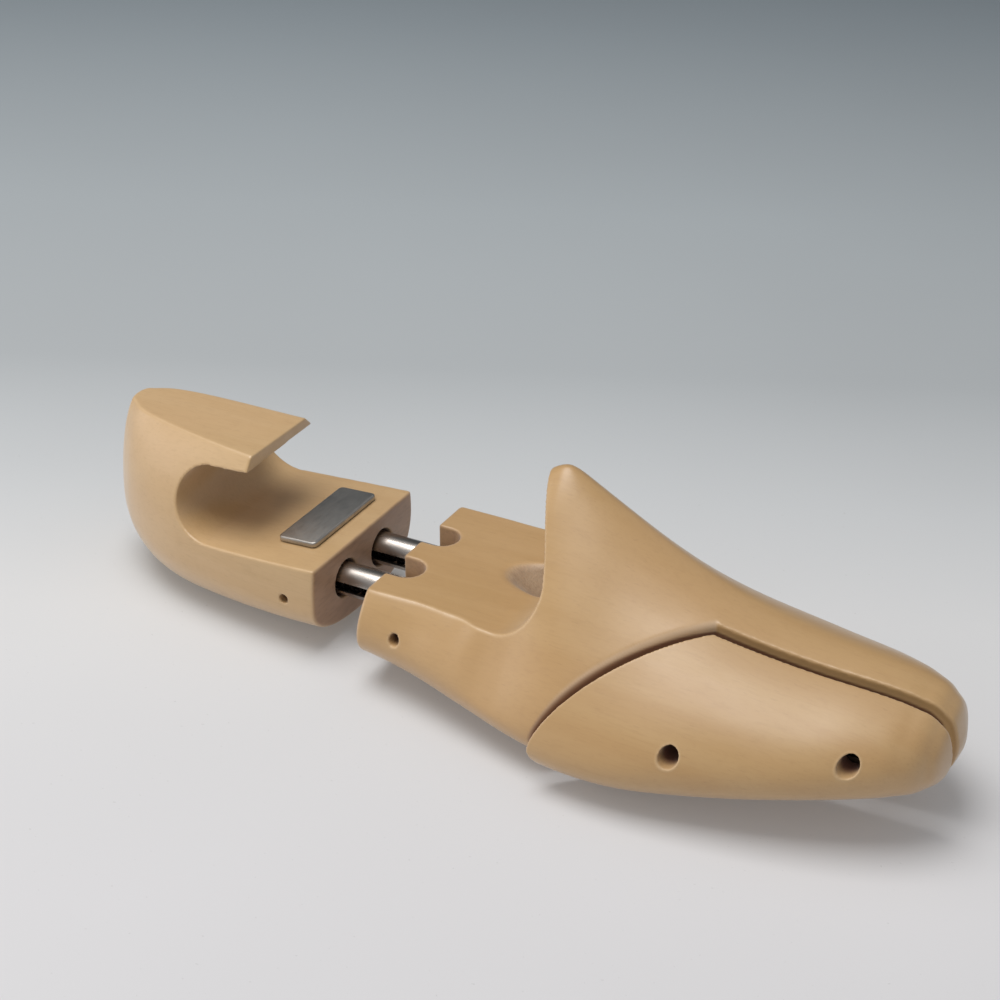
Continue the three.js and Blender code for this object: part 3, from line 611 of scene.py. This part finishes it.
def heel_piece(step):
    field = Field((-89, -32, -20), (3, 32, 40), step)
    skin = blur(field.from_skin(*heel_skin()), 0.7 / step)
    body = field.cut(skin, HEEL_TOP - field.z, 0.5, 0.05)
    floor = HEEL_DECK + HEEL_DECK_SLOPE * GRIP_X
    past = 20
    deck = [(GRIP_X, floor), (past, HEEL_DECK + HEEL_DECK_SLOPE * past), (past, 60), (SLAB_FRONT, 60),
            (SLAB_FRONT, 24), (GRIP_X, 24)]
    rise = GRIP_RISE * field.y * np.clip((field.z - floor) / (GRIP_ROOF - floor), 0, 1)
    half = (GRIP_ROOF - floor) / 2
    grip = arc(GRIP_X, floor + half, GRIP_REACH, half, 90, 270, 40)
    grip += [(GRIP_X + 4, floor + 4 * HEEL_DECK_SLOPE), (past, floor + 6), (past, 80), (SLAB_FRONT, 80),
             (SLAB_FRONT, GRIP_ROOF + 1.15)]
    u = np.broadcast_to(field.x, field.size).reshape(-1)
    v = np.broadcast_to(field.z - rise, field.size).reshape(-1)
    grips = outline_distance(grip, u, v).reshape(tuple(field.size))
    body = field.cut(body, np.minimum(outline_xz(field, deck), grips), 0.5, 0.05)
    body = field.cut(body, -field.x, 0.8, -0.1)
    bores = [rod_x(field, y, 0, HEEL_BORE_R, HEEL_BORE_END, 9) for y in (-TUBE_Y, TUBE_Y)]
    for bore in bores:
        body = field.cut(body, bore, 0.3, 0.35)
    holes = rod_y(field, *HEEL_PIN[:2], PIN_R + GAP)
    body = field.cut(body, holes, 0.3, 0.3)
    tilt = math.atan(HEEL_DECK_SLOPE)
    px = field.x - PLATE_X
    pz = field.z - (HEEL_DECK + HEEL_DECK_SLOPE * PLATE_X)
    along, up = px * math.cos(tilt) + pz * math.sin(tilt), -px * math.sin(tilt) + pz * math.cos(tilt)
    for side in (-1, 1):
        dy = field.y - PLATE_Y - side * PLATE_PIN
        stem = np.maximum(np.sqrt(along ** 2 + dy ** 2) - 1.3, -3.3 - up)
        body = field.cut(body, stem, BORE_EDGE)
    body = field.cut(body, below_floor(field), REST_EDGE)
    return finish_wood("heel_wood", field, body, skin, union(holes, *bores), endgrain=field.x)


# -------------------------------- metal pieces

SHARP_ANGLE = 35


def fix_normals(obj):
    bm = bmesh.new()
    bm.from_mesh(obj.data)
    bmesh.ops.recalc_face_normals(bm, faces=bm.faces)
    bm.to_mesh(obj.data)
    bm.free()


def finish_metal(obj, angle=SHARP_ANGLE):
    """Turns the faces outwards and keeps edges steeper than angle sharp."""
    fix_normals(obj)
    obj.data.set_sharp_from_angle(angle=math.radians(angle))
    return obj


def ring_faces(low, high, count):
    """Quads between the rings of count points that start at low and high."""
    return [[low + k, low + (k + 1) % count, high + (k + 1) % count, high + k] for k in range(count)]


def turned(name, profile, base, axis, sides=64):
    """A lathe-turned solid. The profile is (radius, distance along axis)."""
    p = np.array(profile, float)
    axis = np.array(axis, float)
    u = np.array([0, 0, 1.0]) if abs(axis[2]) < 0.5 else np.array([1.0, 0, 0])
    w = np.cross(axis, u)
    a = np.arange(sides) * 2 * math.pi / sides
    points, faces, rows = [], [], []
    for r, d in p:
        centre = np.array(base) + axis * d
        if r == 0:
            rows.append([len(points)] * sides)
            points.append(centre)
        else:
            rows.append(list(range(len(points), len(points) + sides)))
            points.extend(centre + r * (math.cos(t) * u + math.sin(t) * w) for t in a)
    for low, high in zip(rows, rows[1:]):
        for k in range(sides):
            m = (k + 1) % sides
            face = list(dict.fromkeys([low[k], low[m], high[m], high[k]]))
            if len(face) > 2:
                faces.append(face)
    if p[0, 0] > 0 and p[-1, 0] > 0:
        faces += ring_faces(rows[-1][0], rows[0][0], sides)
    return finish_metal(make_object(name, np.array(points), faces))


def rounded_profile(profile, size, steps=3):
    """Softens the inner corners of a lathe profile."""
    out = [profile[0]]
    for before, at, after in zip(profile, profile[1:], profile[2:]):
        at = np.array(at, float)
        one, two = np.array(before) - at, np.array(after) - at
        la, lb = np.linalg.norm(one), np.linalg.norm(two)
        cutback = min(size, la * 0.45, lb * 0.45)
        a, b = at + one / la * cutback, at + two / lb * cutback
        for k in range(steps + 1):
            t = k / steps
            out.append(tuple((1 - t)**2 * a + 2 * (1 - t) * t * at + t * t * b))
    out.append(profile[-1])
    return out


def carve(obj, cutter):
    """Takes the cutter out of obj with an exact boolean and removes it."""
    m = obj.modifiers.new("carve", "BOOLEAN")
    m.operation = "DIFFERENCE"
    m.solver = "EXACT"
    m.object = cutter
    graph = bpy.context.evaluated_depsgraph_get()
    mesh = bpy.data.meshes.new_from_object(obj.evaluated_get(graph))
    obj.modifiers.clear()
    old = obj.data
    obj.data = mesh
    bpy.data.meshes.remove(old)
    bpy.data.objects.remove(cutter)
    obj.data.shade_smooth()
    obj.data.set_sharp_from_angle(angle=math.radians(SHARP_ANGLE))
    return obj


def slab_tool(outline, low, high):
    """An XZ outline swept along Y as a boolean tool, in mm."""
    n = len(outline)
    points = [(x, y, z) for y in (low, high) for x, z in outline]
    faces = [list(range(n)), list(range(n, 2 * n))] + ring_faces(0, n, n)
    tool = make_object("tool", points, faces, smooth=False)
    fix_normals(tool)
    return tool


def guide_tube(name, y):
    r, inner = TUBE_R, TUBE_R - TUBE_WALL
    start = (inner + 0.5, TUBE_REAR)
    wall = [start, (r, TUBE_REAR), (r, TUBE_FRONT), (inner, TUBE_FRONT), (inner, TUBE_REAR), start]
    tube = turned(name, rounded_profile(wall, 0.3)[:-1], (0, y, 0), (1, 0, 0), sides=96)
    reach = PIN_R + 0.2 - SLOT_HALF
    outline = arc(HEEL_PIN[0] - reach, SLOT_Z, SLOT_HALF, SLOT_HALF, 90, 270, 12)
    outline += arc(FORE_PIN[0] + reach, SLOT_Z, SLOT_HALF, SLOT_HALF, -90, 90, 12)
    return carve(tube, slab_tool(outline, y - 9, y + 9))


def coil_spring(name, start, axis, length, diameter, wire, turns, sides=12, per_turn=28):
    """A compression spring whose first and last turns lie closer together."""
    radius = (diameter - wire) / 2
    count = int(turns * per_turn)
    t = np.linspace(0, turns, count + 1)
    pitch = np.clip(np.minimum(t, turns - t), 0, 1)
    pitch = 0.22 + 0.78 * pitch * pitch * (3 - 2 * pitch)
    height = np.concatenate([[0], np.cumsum((pitch[1:] + pitch[:-1]) / 2)])
    height = wire / 2 + (length - wire) * height / height[-1]
    axis = np.array(axis, float)
    u = np.array([0, 0, 1.0])
    w = np.cross(axis, u)
    angle = 2 * math.pi * t
    outwards = np.cos(angle)[:, None] * u + np.sin(angle)[:, None] * w
    centre = np.array(start) + height[:, None] * axis + radius * outwards
    tangent = np.gradient(centre, axis=0)
    tangent /= np.linalg.norm(tangent, axis=1)[:, None]
    side = np.cross(tangent, outwards)
    ring = np.arange(sides) * 2 * math.pi / sides
    points = (centre[:, None, :] + wire / 2 * (np.cos(ring)[None, :, None] * outwards[:, None, :]
                                               + np.sin(ring)[None, :, None] * side[:, None, :]))
    points = points.reshape(-1, 3)
    faces = []
    for i in range(count):
        faces += ring_faces(i * sides, (i + 1) * sides, sides)
    faces.append(list(range(sides)))
    faces.append(list(range(count * sides, (count + 1) * sides)))
    return finish_metal(make_object(name, points, faces), 60)


def spring_seat(name, y):
    r = TUBE_R - TUBE_WALL - GAP
    rear = HEEL_PIN[0] + PIN_R + GAP
    front = rear + SEAT_LENGTH
    nose_r, nose = 2.2, front + 3
    profile = [(0, rear), (r, rear), (r, front), (nose_r, front), (nose_r, nose), (0, nose)]
    return turned(name, rounded_profile(profile, 0.3), (0, y, 0), (1, 0, 0), sides=48)


def cross_pin(name, pin):
    x, z, low, high = pin
    profile = rounded_profile([(0, low), (PIN_R, low), (PIN_R, high), (0, high)], 0.35)
    return turned(name, profile, (x, 0, z), (0, 1, 0), sides=40)


def driver_slot(s, half, low, high):
    """A tool that cuts a screwdriver slot across a turned piece."""
    x, z, reach = s["x"], s["z"], 5
    outline = [(x - reach, z - half), (x + reach, z - half), (x + reach, z + half), (x - reach, z + half)]
    return slab_tool(outline, low, high)


def guide_screw(name, s):
    top = s["seat"] - WING_OUT - 2 * GAP - WASHER_THICK
    low = top - HEAD_LENGTH
    thread = s["nut"] - THREAD_LEAD
    profile = [(0, low), (HEAD_R, low), (HEAD_R, top), (SHANK_R, top), (SHANK_R, s["nut"] - 2)]
    body = rounded_profile(profile + [(SHANK_R, thread)], 0.4)[:-1]
    for k in range(int((s["tail"] - s["nut"] + 1.2) / THREAD_PITCH)):
        at = thread + THREAD_PITCH * k
        body += [(SHANK_R, at), (SHANK_R - THREAD_DEPTH, at + THREAD_PITCH / 2)]
    body += [(SHANK_R, s["tail"] - 0.5), (SHANK_R - 0.4, s["tail"]), (0, s["tail"])]
    screw = turned(name, body, (s["x"], 0, s["z"]), (0, 1, 0), sides=48)
    return carve(screw, driver_slot(s, 0.45, low - 1, low + 1))


def guide_ring(name, s, radius, low, high, round_off, inset):
    """A turned ring on the screw's axis, from low to high along Y."""
    inner = SHANK_R + GAP
    start = (inner + inset, low)
    profile = [start, (radius, low), (radius, high), (inner, high), (inner, low), start]
    profile = rounded_profile(profile, round_off)[:-1]
    return turned(name, profile, (s["x"], 0, s["z"]), (0, 1, 0), sides=48)


def guide_nut(name, s):
    low = s["nut"] + GAP
    nut = guide_ring(name, s, NUT_R, low, low + NUT_LENGTH, 0.35, 0.6)
    return carve(nut, driver_slot(s, 0.5, low + NUT_LENGTH - 0.8, low + NUT_LENGTH + 2))


def washer(name, s):
    top = s["seat"] - WING_OUT - GAP
    return guide_ring(name, s, WASHER_R, top - WASHER_THICK, top, 0.2, 0.4)


def name_plate():
    """A plain plate with rounded corners, a bevel and two pins."""
    width, length, thick = PLATE_SIZE
    tilt = math.atan(HEEL_DECK_SLOPE)
    base = HEEL_DECK + HEEL_DECK_SLOPE * PLATE_X

    def outline(inset):
        x, y, c = width / 2 - PLATE_CORNER, length / 2 - PLATE_CORNER, PLATE_CORNER - inset
        corners = arc(x, y, c, c, 0, 90, 8) + arc(-x, y, c, c, 90, 180, 8)
        return corners + arc(-x, -y, c, c, 180, 270, 8) + arc(x, -y, c, c, 270, 360, 8)

    face = GAP + thick
    levels = [(0.25, GAP), (0.06, GAP + 0.08), (0, GAP + 0.25), (0, face - 0.45), (0.08, face - 0.2),
              (0.28, face - 0.05), (0.5, face)]
    points, faces = [], []
    n = len(outline(0))
    for inset, height in levels:
        points += [(px, py, height) for px, py in outline(inset)]
    for r in range(len(levels) - 1):
        faces += ring_faces(r * n, (r + 1) * n, n)
    faces.append(list(range(n))[::-1])
    faces.append([(len(levels) - 1) * n + k for k in range(n)])
    sides = 24
    for side in (-1, 1):
        first = len(points)
        for r, height in ((1.0, GAP + 0.4), (1.0, -2.3), (0.75, -2.6)):
            ring = arc(0, side * PLATE_PIN, r, r, 0, 345, sides - 1)
            points += [(px, py, height) for px, py in ring]
        for start in (first, first + sides):
            faces += ring_faces(start, start + sides, sides)
        faces.append([first + k for k in range(sides)])
        faces.append([first + 2 * sides + k for k in range(sides)])
    p = np.array(points, float)
    x = p[:, 0] * math.cos(tilt) - p[:, 2] * math.sin(tilt) + PLATE_X
    z = p[:, 0] * math.sin(tilt) + p[:, 2] * math.cos(tilt) + base
    return finish_metal(make_object("name_plate_metal", np.stack([x, p[:, 1] + PLATE_Y, z], 1), faces), 50)


# -------------------------------- materials

class Nodes:
    """Short hand for building a node material."""

    def __init__(self, name):
        self.material = bpy.data.materials.new(name)
        self.material.use_nodes = True
        self.tree = self.material.node_tree
        self.tree.nodes.clear()
        self.out = self.tree.nodes.new("ShaderNodeOutputMaterial")
        self.shader = self.tree.nodes.new("ShaderNodeBsdfPrincipled")
        self.link(self.shader.outputs[0], self.out.inputs[0])

    def link(self, a, b):
        self.tree.links.new(a, b)

    def set(self, socket, value):
        if isinstance(value, bpy.types.NodeSocket):
            self.link(value, socket)
        else:
            socket.default_value = value

    def node(self, kind, inputs=None, **settings):
        n = self.tree.nodes.new(kind)
        for key, value in settings.items():
            setattr(n, key, value)
        for key, value in (inputs or {}).items():
            self.set(n.inputs[key], value)
        return n

    def coords(self, scale=(1, 1, 1), turn=(0, 0, 0), shift=(0, 0, 0)):
        position = self.node("ShaderNodeTexCoord").outputs["Object"]
        inputs = {"Vector": position, "Scale": scale, "Rotation": turn, "Location": shift}
        return self.node("ShaderNodeMapping", inputs).outputs[0]

    def noise(self, vector, scale, detail=3.0, rough=0.5, distort=0.0):
        inputs = {"Vector": vector, "Scale": scale, "Detail": detail, "Roughness": rough}
        inputs["Distortion"] = distort
        return self.node("ShaderNodeTexNoise", inputs).outputs["Fac"]

    def math(self, op, a, b=0.0):
        return self.node("ShaderNodeMath", {0: a, 1: b}, operation=op).outputs[0]

    def ramp(self, value, low, high, out_low=0.0, out_high=1.0, kind="SMOOTHSTEP"):
        inputs = {"Value": value, "From Min": low, "From Max": high, "To Min": out_low, "To Max": out_high}
        return self.node("ShaderNodeMapRange", inputs, interpolation_type=kind).outputs[0]

    def blend(self, amount, a, b):
        return self.node("ShaderNodeMix", {0: amount, 6: a, 7: b}, data_type="RGBA").outputs[2]

    def wash(self, under, mask, amount, over):
        """Lays one colour over another by a mask times an amount."""
        return self.blend(self.math("MULTIPLY", mask, amount), under, over)

    def attribute(self, name):
        return self.node("ShaderNodeAttribute", attribute_name=name).outputs["Fac"]

    def bump(self, height, strength, distance, normal=None):
        n = self.node("ShaderNodeBump", {"Strength": strength, "Distance": distance, "Height": height})
        if normal is not None:
            self.link(normal, n.inputs["Normal"])
        return n.outputs[0]

    def finish(self, inputs):
        """Sets or links the shader's own sockets."""
        for key, value in inputs.items():
            self.set(self.shader.inputs[key], value)
        return self.material


def srgb(r, g, b):
    def one(v):
        v /= 255
        return v / 12.92 if v <= 0.04045 else ((v + 0.055) / 1.055) ** 2.4
    return (one(r), one(g), one(b), 1.0)


def wood(name, turn, shift, tone):
    """Pale close-grained hardwood under a satin lacquer, fibres along X."""
    n = Nodes(name)
    grain = n.coords((1, 1, 1), turn, shift)

    def along(stretch, *settings):
        return n.noise(n.coords((stretch, 1, 1), turn, shift), *settings)

    bands = along(0.05, 120, 3.0, 0.55, 0.3)
    drift = along(0.4, 22, 2.0, 0.5)
    fibre = along(0.09, 1500, 3.0, 0.6)
    fleck = along(0.12, 1900, 1.0, 0.5)
    mottle = n.noise(grain, 300, 3.0, 0.6)
    colour = n.blend(n.ramp(bands, 0.34, 0.68), tone["base"], tone["band"])
    colour = n.wash(colour, n.ramp(drift, 0.35, 0.7), 0.6, tone["warm"])
    colour = n.wash(colour, n.ramp(fibre, 0.45, 0.75), 0.16, tone["dark"])
    colour = n.wash(colour, n.ramp(mottle, 0.5, 0.75), 0.10, tone["dark"])
    colour = n.wash(colour, n.ramp(fleck, 0.66, 0.76), 0.14, tone["fleck"])
    end = n.attribute("endgrain")
    end_turn = (turn[0] + 0.4, turn[1], turn[2])
    lines = n.noise(n.coords((1, 0.25, 1), end_turn, shift), 900, 3.0, 0.6)
    broad = n.noise(n.coords((1, 0.3, 1), end_turn, shift), 160, 2.0, 0.5)
    end_colour = n.blend(n.ramp(broad, 0.35, 0.7), tone["end"], tone["end_warm"])
    end_colour = n.wash(end_colour, n.ramp(lines, 0.42, 0.7), 0.4, tone["end_dark"])
    colour = n.wash(colour, end, 0.9, end_colour)
    # Sawn walls in a lighter tone: bare wood, plus painted light for the light bouncing in the gap.
    sawn_and_bounce_lit = n.attribute("sawn_and_bounce_lit")
    colour = n.wash(colour, sawn_and_bounce_lit, 0.8, tone["sawn_and_bounce_lit"])
    # Sanded rear band: bare wood plus a painted highlight.
    colour = n.wash(colour, n.attribute("sanded_and_highlit"), 0.75, tone["sanded_and_highlit"])
    # Painted shade deep in the gap between the forepart and the wing.
    colour = n.wash(colour, n.attribute("seam_shade"), 0.9, tone["seam_shade"])
    hollow_colour = n.wash(tone["hollow"], n.ramp(mottle, 0.4, 0.7), 0.4, tone["end_dark"])
    colour = n.wash(colour, n.attribute("hollow"), 0.85, hollow_colour)
    # Painted shade inside bores, darker with depth.
    colour = n.wash(colour, n.attribute("drilled"), 0.95, tone["bore_shade"])
    # Pale arrises: lacquer rubbed through, plus a painted highlight where rounded edges catch the light.
    wear_and_glint = n.ramp(n.noise(grain, 240, 3.0, 0.6), 0.25, 0.6, 0.3, 0.75)
    worn_and_glinting = n.math("MULTIPLY", n.attribute("edge"), wear_and_glint)
    colour = n.blend(worn_and_glinting, colour, tone["edge"])
    spots = n.node("ShaderNodeTexVoronoi", {"Vector": n.coords((0.8, 1, 1), turn, shift), "Scale": 62})
    chosen = n.math("GREATER_THAN", spots.outputs["Color"], 0.80)
    speck = n.math("MULTIPLY", n.ramp(spots.outputs["Distance"], 0.012, 0.034, 1.0, 0.0), chosen)
    colour = n.wash(colour, speck, 0.5, tone["speck"])
    rough = n.attribute("rough")
    smear = along(0.4, 95, 3.0, 0.6)
    bare = n.math("MAXIMUM", rough, n.math("MULTIPLY", n.math("MAXIMUM", end, sawn_and_bounce_lit), 0.6))
    roughness = n.math("ADD", n.ramp(smear, 0.3, 0.7, 0.34, 0.44), n.math("MULTIPLY", bare, 0.35))
    pores = n.noise(grain, 420, 2.0, 0.5)
    relief = n.math("ADD", n.math("MULTIPLY", fibre, 0.5), n.math("MULTIPLY", pores, 0.5))
    normal = n.bump(relief, 0.08, 0.0004)
    gouges = n.noise(grain, 1300, 3.0, 0.7)
    normal = n.bump(n.math("MULTIPLY", gouges, rough), 0.5, 0.0006, normal)
    return n.finish({"Base Color": colour, "Roughness": roughness, "Normal": normal, **LACQUER})


def metal(name, colour, low, high, stretch, scale, grime=None, relief=0.04):
    """Worked metal with fine lines and an uneven polish."""
    n = Nodes(name)
    lines = n.noise(n.coords(stretch), scale, 4.0, 0.6)
    cloud = n.noise(n.coords(), 140, 3.0, 0.55)
    dark = tuple(c * 0.82 for c in colour[:3]) + (1.0,)
    tint = n.blend(n.ramp(cloud, 0.35, 0.7), colour, dark)
    if grime:
        tint = n.wash(tint, n.ramp(lines, 0.55, 0.8), 0.5, grime)
    mixed = n.math("ADD", n.math("MULTIPLY", lines, 0.6), n.math("MULTIPLY", cloud, 0.4))
    roughness = n.ramp(mixed, 0.3, 0.7, low, high)
    return n.finish({"Base Color": tint, "Metallic": 1.0, "Roughness": roughness,
                     "Normal": n.bump(lines, relief, 0.0002)})


LACQUER = {"Coat Weight": 0.6, "Coat Roughness": 0.38, "Sheen Weight": 0.25, "Sheen Roughness": 0.5,
           "IOR": 1.52}
# Floor colours by distance back; their darkening towards the back is painted shade.
FLOOR_TONES = [(-0.3, srgb(202, 202, 203)), (-0.1, srgb(203, 202, 203)), (0.03, srgb(200, 200, 200)),
               (0.1, srgb(187, 189, 190)), (0.2, srgb(162, 166, 168)), (0.36, srgb(156, 162, 165)),
               (0.65, srgb(131, 139, 144)), (0.95, srgb(101, 110, 116)), (1.19, srgb(80, 88, 94))]
WOOD_TONE = dict(
    base=srgb(187, 150, 99), band=srgb(181, 143, 91), warm=srgb(190, 150, 101),
    dark=srgb(158, 119, 74), fleck=srgb(140, 101, 61), end=srgb(174, 134, 100),
    # The sawn colour is bare wood made paler as painted bounce light in the gap.
    end_warm=srgb(158, 116, 80), end_dark=srgb(122, 86, 58), sawn_and_bounce_lit=srgb(214, 178, 124),
    # The dark seam colour is painted shade in the gap beside the wing.
    # The pale sanded colour is bare wood plus a painted highlight on the rounded rear band.
    sanded_and_highlit=srgb(218, 188, 154), seam_shade=srgb(112, 64, 40), hollow=srgb(166, 140, 112),
    # The dark bore colour is painted shade inside holes.
    # The pale edge colour is rubbed lacquer plus a painted highlight.
    bore_shade=srgb(98, 52, 34), edge=srgb(206, 174, 130), speck=srgb(104, 70, 42))
WING_TONE = dict(WOOD_TONE, base=srgb(188, 152, 103), band=srgb(183, 145, 95), warm=srgb(192, 153, 105))
HEEL_TONE = dict(WOOD_TONE, base=srgb(198, 164, 116), band=srgb(192, 156, 106), warm=srgb(201, 164, 117))


# -------------------------------- the object

def grid_step(fine):
    return fine


even = (1, 1, 1)
MATERIALS = dict(
    forepart_wood=wood("wood_forepart", (0.10, -PITCH, 0.03), (0.0, 0.0, 0.0), WOOD_TONE),
    heel_wood=wood("wood_heel", (0.35, -PITCH, -0.04), (0.31, 0.07, 0.19), HEEL_TONE),
    wing_wood=wood("wood_wing", (-0.25, -PITCH, 0.06), (0.12, 0.43, 0.05), WING_TONE),
    # Grey steel with a warm tint that paints in the reflection of the wood.
    tube_steel=metal("tube_polished", srgb(192, 184, 176), 0.26, 0.31, (0.03, 1, 1), 700, relief=0.001),
    spring_steel=metal("spring_dark", srgb(30, 28, 27), 0.55, 0.70, even, 1200),
    fastener_steel=metal("fastener_turned", srgb(84, 76, 68), 0.42, 0.55, even, 800),
    nickel=metal("nickel_turned", srgb(176, 172, 164), 0.22, 0.38, even, 700),
    nut_brass=metal("brass_turned", srgb(190, 160, 96), 0.25, 0.42, even, 700, grime=srgb(110, 84, 44)),
    plate_metal=metal("plate_satin", srgb(186, 182, 176), 0.38, 0.48, (1, 0.2, 1), 1300,
                      grime=srgb(140, 137, 132), relief=0.12))


def place(obj, body, node, slot):
    obj.data.materials.clear()
    obj.data.materials.append(MATERIALS[slot])
    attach(obj, body)
    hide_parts(node)


place(forepart_piece(grid_step(0.5)), "forepart", "forepart_body", "forepart_wood")
place(heel_piece(grid_step(0.4)), "heel", "heel_block", "heel_wood")
place(wing_piece(grid_step(0.32)), "wing", "toe_wing", "wing_wood")

spring_low = HEEL_PIN[0] + PIN_R + SEAT_LENGTH + 2 * GAP
spring_high = FORE_PIN[0] - PIN_R - GAP
spring_length = spring_high - spring_low
for side, y in (("near", -TUBE_Y), ("far", TUBE_Y)):
    place(guide_tube(f"tube_{side}_steel", y), "forepart", f"tube_{side}", "tube_steel")
    seat = spring_seat(f"spring_seat_{side}_metal", y)
    place(seat, "heel", f"spring_seat_{side}", "nickel")
    start = (spring_low, y, 0)
    spring = coil_spring(f"tube_spring_{side}_wire", start, (1, 0, 0), spring_length, **TUBE_SPRING)
    place(spring, "forepart", f"tube_spring_{side}", "spring_steel")
    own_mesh(spring)
for body, pin in (("forepart", FORE_PIN), ("heel", HEEL_PIN)):
    place(cross_pin(f"{body}_cross_pin_steel", pin), body, f"{body}_cross_pin", "fastener_steel")
place(name_plate(), "heel", "name_plate", "plate_metal")
for where, s in SCREWS.items():
    screw = guide_screw(f"wing_screw_{where}_steel", s)
    place(screw, "forepart", f"wing_guide_screw_{where}", "fastener_steel")
    nut = guide_nut(f"wing_nut_{where}_brass", s)
    place(nut, "forepart", f"wing_guide_nut_{where}", "nut_brass")
    place(washer(f"wing_washer_{where}_metal", s), "forepart", f"wing_washer_{where}", "nickel")
    low = s["pocket"] - WING_OUT + GAP
    high = s["back"] - GAP
    length = high - low
    start = (s["x"], low, s["z"])
    spring = coil_spring(f"wing_spring_{where}_wire", start, (0, 1, 0), length, **WING_SPRING)
    place(spring, "forepart", f"wing_spring_{where}", "spring_steel")
    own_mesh(spring)


# -------------------------------- stage and light

CAMERA_AZIMUTH, CAMERA_ELEVATION, CAMERA_ROLL = (math.radians(v) for v in (28.067, 28.907, 0.199))
CAMERA_AT = (278.618, -436.204, 306.512)
CAMERA_LENS = 71.767
FLOOR_GLOW = 0.18
SKY_COLOUR, SKY_STRENGTH = (0.74, 0.76, 0.79, 1), 0.44


def floor_material():
    """Pale paper that deepens to blue grey towards the back, the darkening being painted shade where the
    light falls off.
    """
    n = Nodes("floor_paper")
    cloud = n.noise(n.coords(), 3.0, 3.0, 0.5)
    dust = n.noise(n.coords(), 700.0, 2.0, 0.5)
    split = n.node("ShaderNodeSeparateXYZ")
    n.link(n.coords((1, 1, 1), (0, 0, -CAMERA_AZIMUTH)), split.inputs[0])
    back = n.node("ShaderNodeValToRGB")
    near, far = -0.3, 1.2
    n.link(n.ramp(split.outputs["Y"], near, far, kind="LINEAR"), back.inputs[0])
    stops = back.color_ramp.elements
    for distance, tone in FLOOR_TONES:
        stops.new((distance - near) / (far - near)).color = tone
    stops.remove(stops[0])
    stops.remove(stops[-1])
    colour = n.blend(n.ramp(cloud, 0.3, 0.7, 0.0, 0.08), back.outputs[0], srgb(120, 118, 118))
    colour = n.wash(colour, n.ramp(dust, 0.70, 0.78), 0.25, srgb(150, 148, 146))
    return n.finish({"Base Color": colour, "Emission Color": colour, "Emission Strength": FLOOR_GLOW,
                     "Roughness": 0.8, "Specular IOR Level": 0.2})


def sweep_floor():
    """Paper that lies flat and curves up behind the object."""
    depth, width, radius, height = 1.0, 5.0, 0.5, 1.6
    profile = [(-1.4, 0), (-0.4, 0), (depth, 0)]
    profile += [(depth + radius * math.sin(math.radians(a)), radius - radius * math.cos(math.radians(a)))
                for a in range(5, 91, 5)]
    profile.append((depth + radius, height))
    c, s = math.cos(CAMERA_AZIMUTH), math.sin(CAMERA_AZIMUTH)
    points = [(side * c - d * s, side * s + d * c, h)
              for d, h in profile for side in (-width / 2, width / 2)]
    faces = [[2 * k, 2 * k + 1, 2 * k + 3, 2 * k + 2] for k in range(len(profile) - 1)]
    mesh = bpy.data.meshes.new("floor")
    mesh.from_pydata(points, [], faces)
    mesh.shade_smooth()
    obj = link_object("floor", mesh)
    mesh.materials.append(floor_material())
    obj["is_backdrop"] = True


def area_light(name, at, target, size, power, colour):
    data = bpy.data.lights.new(name, "AREA")
    data.shape = "RECTANGLE"
    data.size, data.size_y = size
    data.energy = power
    data.color = colour
    obj = link_object(name, data)
    obj.location = at
    obj.rotation_mode = "QUATERNION"
    obj.rotation_quaternion = (Vector(target) - Vector(at)).to_track_quat("-Z", "Y")
    return obj


def sky():
    world = bpy.data.worlds.new("studio")
    world.use_nodes = True
    back = world.node_tree.nodes["Background"]
    back.inputs[0].default_value = SKY_COLOUR
    back.inputs[1].default_value = SKY_STRENGTH
    bpy.context.scene.world = world


def camera():
    """A 71.8 mm lens, 28 degrees round to the right and 29 above."""
    right = Vector((math.cos(CAMERA_AZIMUTH), math.sin(CAMERA_AZIMUTH), 0))
    level = Vector((math.sin(CAMERA_AZIMUTH), -math.cos(CAMERA_AZIMUTH), 0))
    back = level * math.cos(CAMERA_ELEVATION) + Vector((0, 0, math.sin(CAMERA_ELEVATION)))
    up = back.cross(right)
    c, s = math.cos(CAMERA_ROLL), math.sin(CAMERA_ROLL)
    right, up = right * c + up * s, up * c - right * s
    data = bpy.data.cameras.new("camera")
    data.sensor_width = 36
    data.lens = CAMERA_LENS
    data.clip_start, data.clip_end = 0.01, 20
    obj = link_object("camera", data)
    axes = Matrix((TURN @ right, TURN @ up, TURN @ back)).transposed()
    obj.matrix_world = Matrix.Translation(MODEL_TO_ROW @ Vector(CAMERA_AT)) @ axes.to_4x4()
    bpy.context.scene.camera = obj


sweep_floor()
sky()
area_light("overhead", (-0.28, -0.1, 1.12), (-0.05, 0, 0), (0.85, 0.75), 10.6, (1.0, 0.985, 0.975))
area_light("left", (-1.15, -0.42, 0.42), (0, 0, 0.02), (0.9, 0.7), 3.1, (1.0, 0.985, 0.97))
bounce = area_light("bounce", (-0.25, -1.5, 0.42), (0, 0, 0), (1.9, 0.7), 2.5, (1.0, 0.99, 0.98))
bounce.visible_glossy = False
camera()
bpy.context.scene.view_settings.view_transform = "Standard"

low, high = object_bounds()
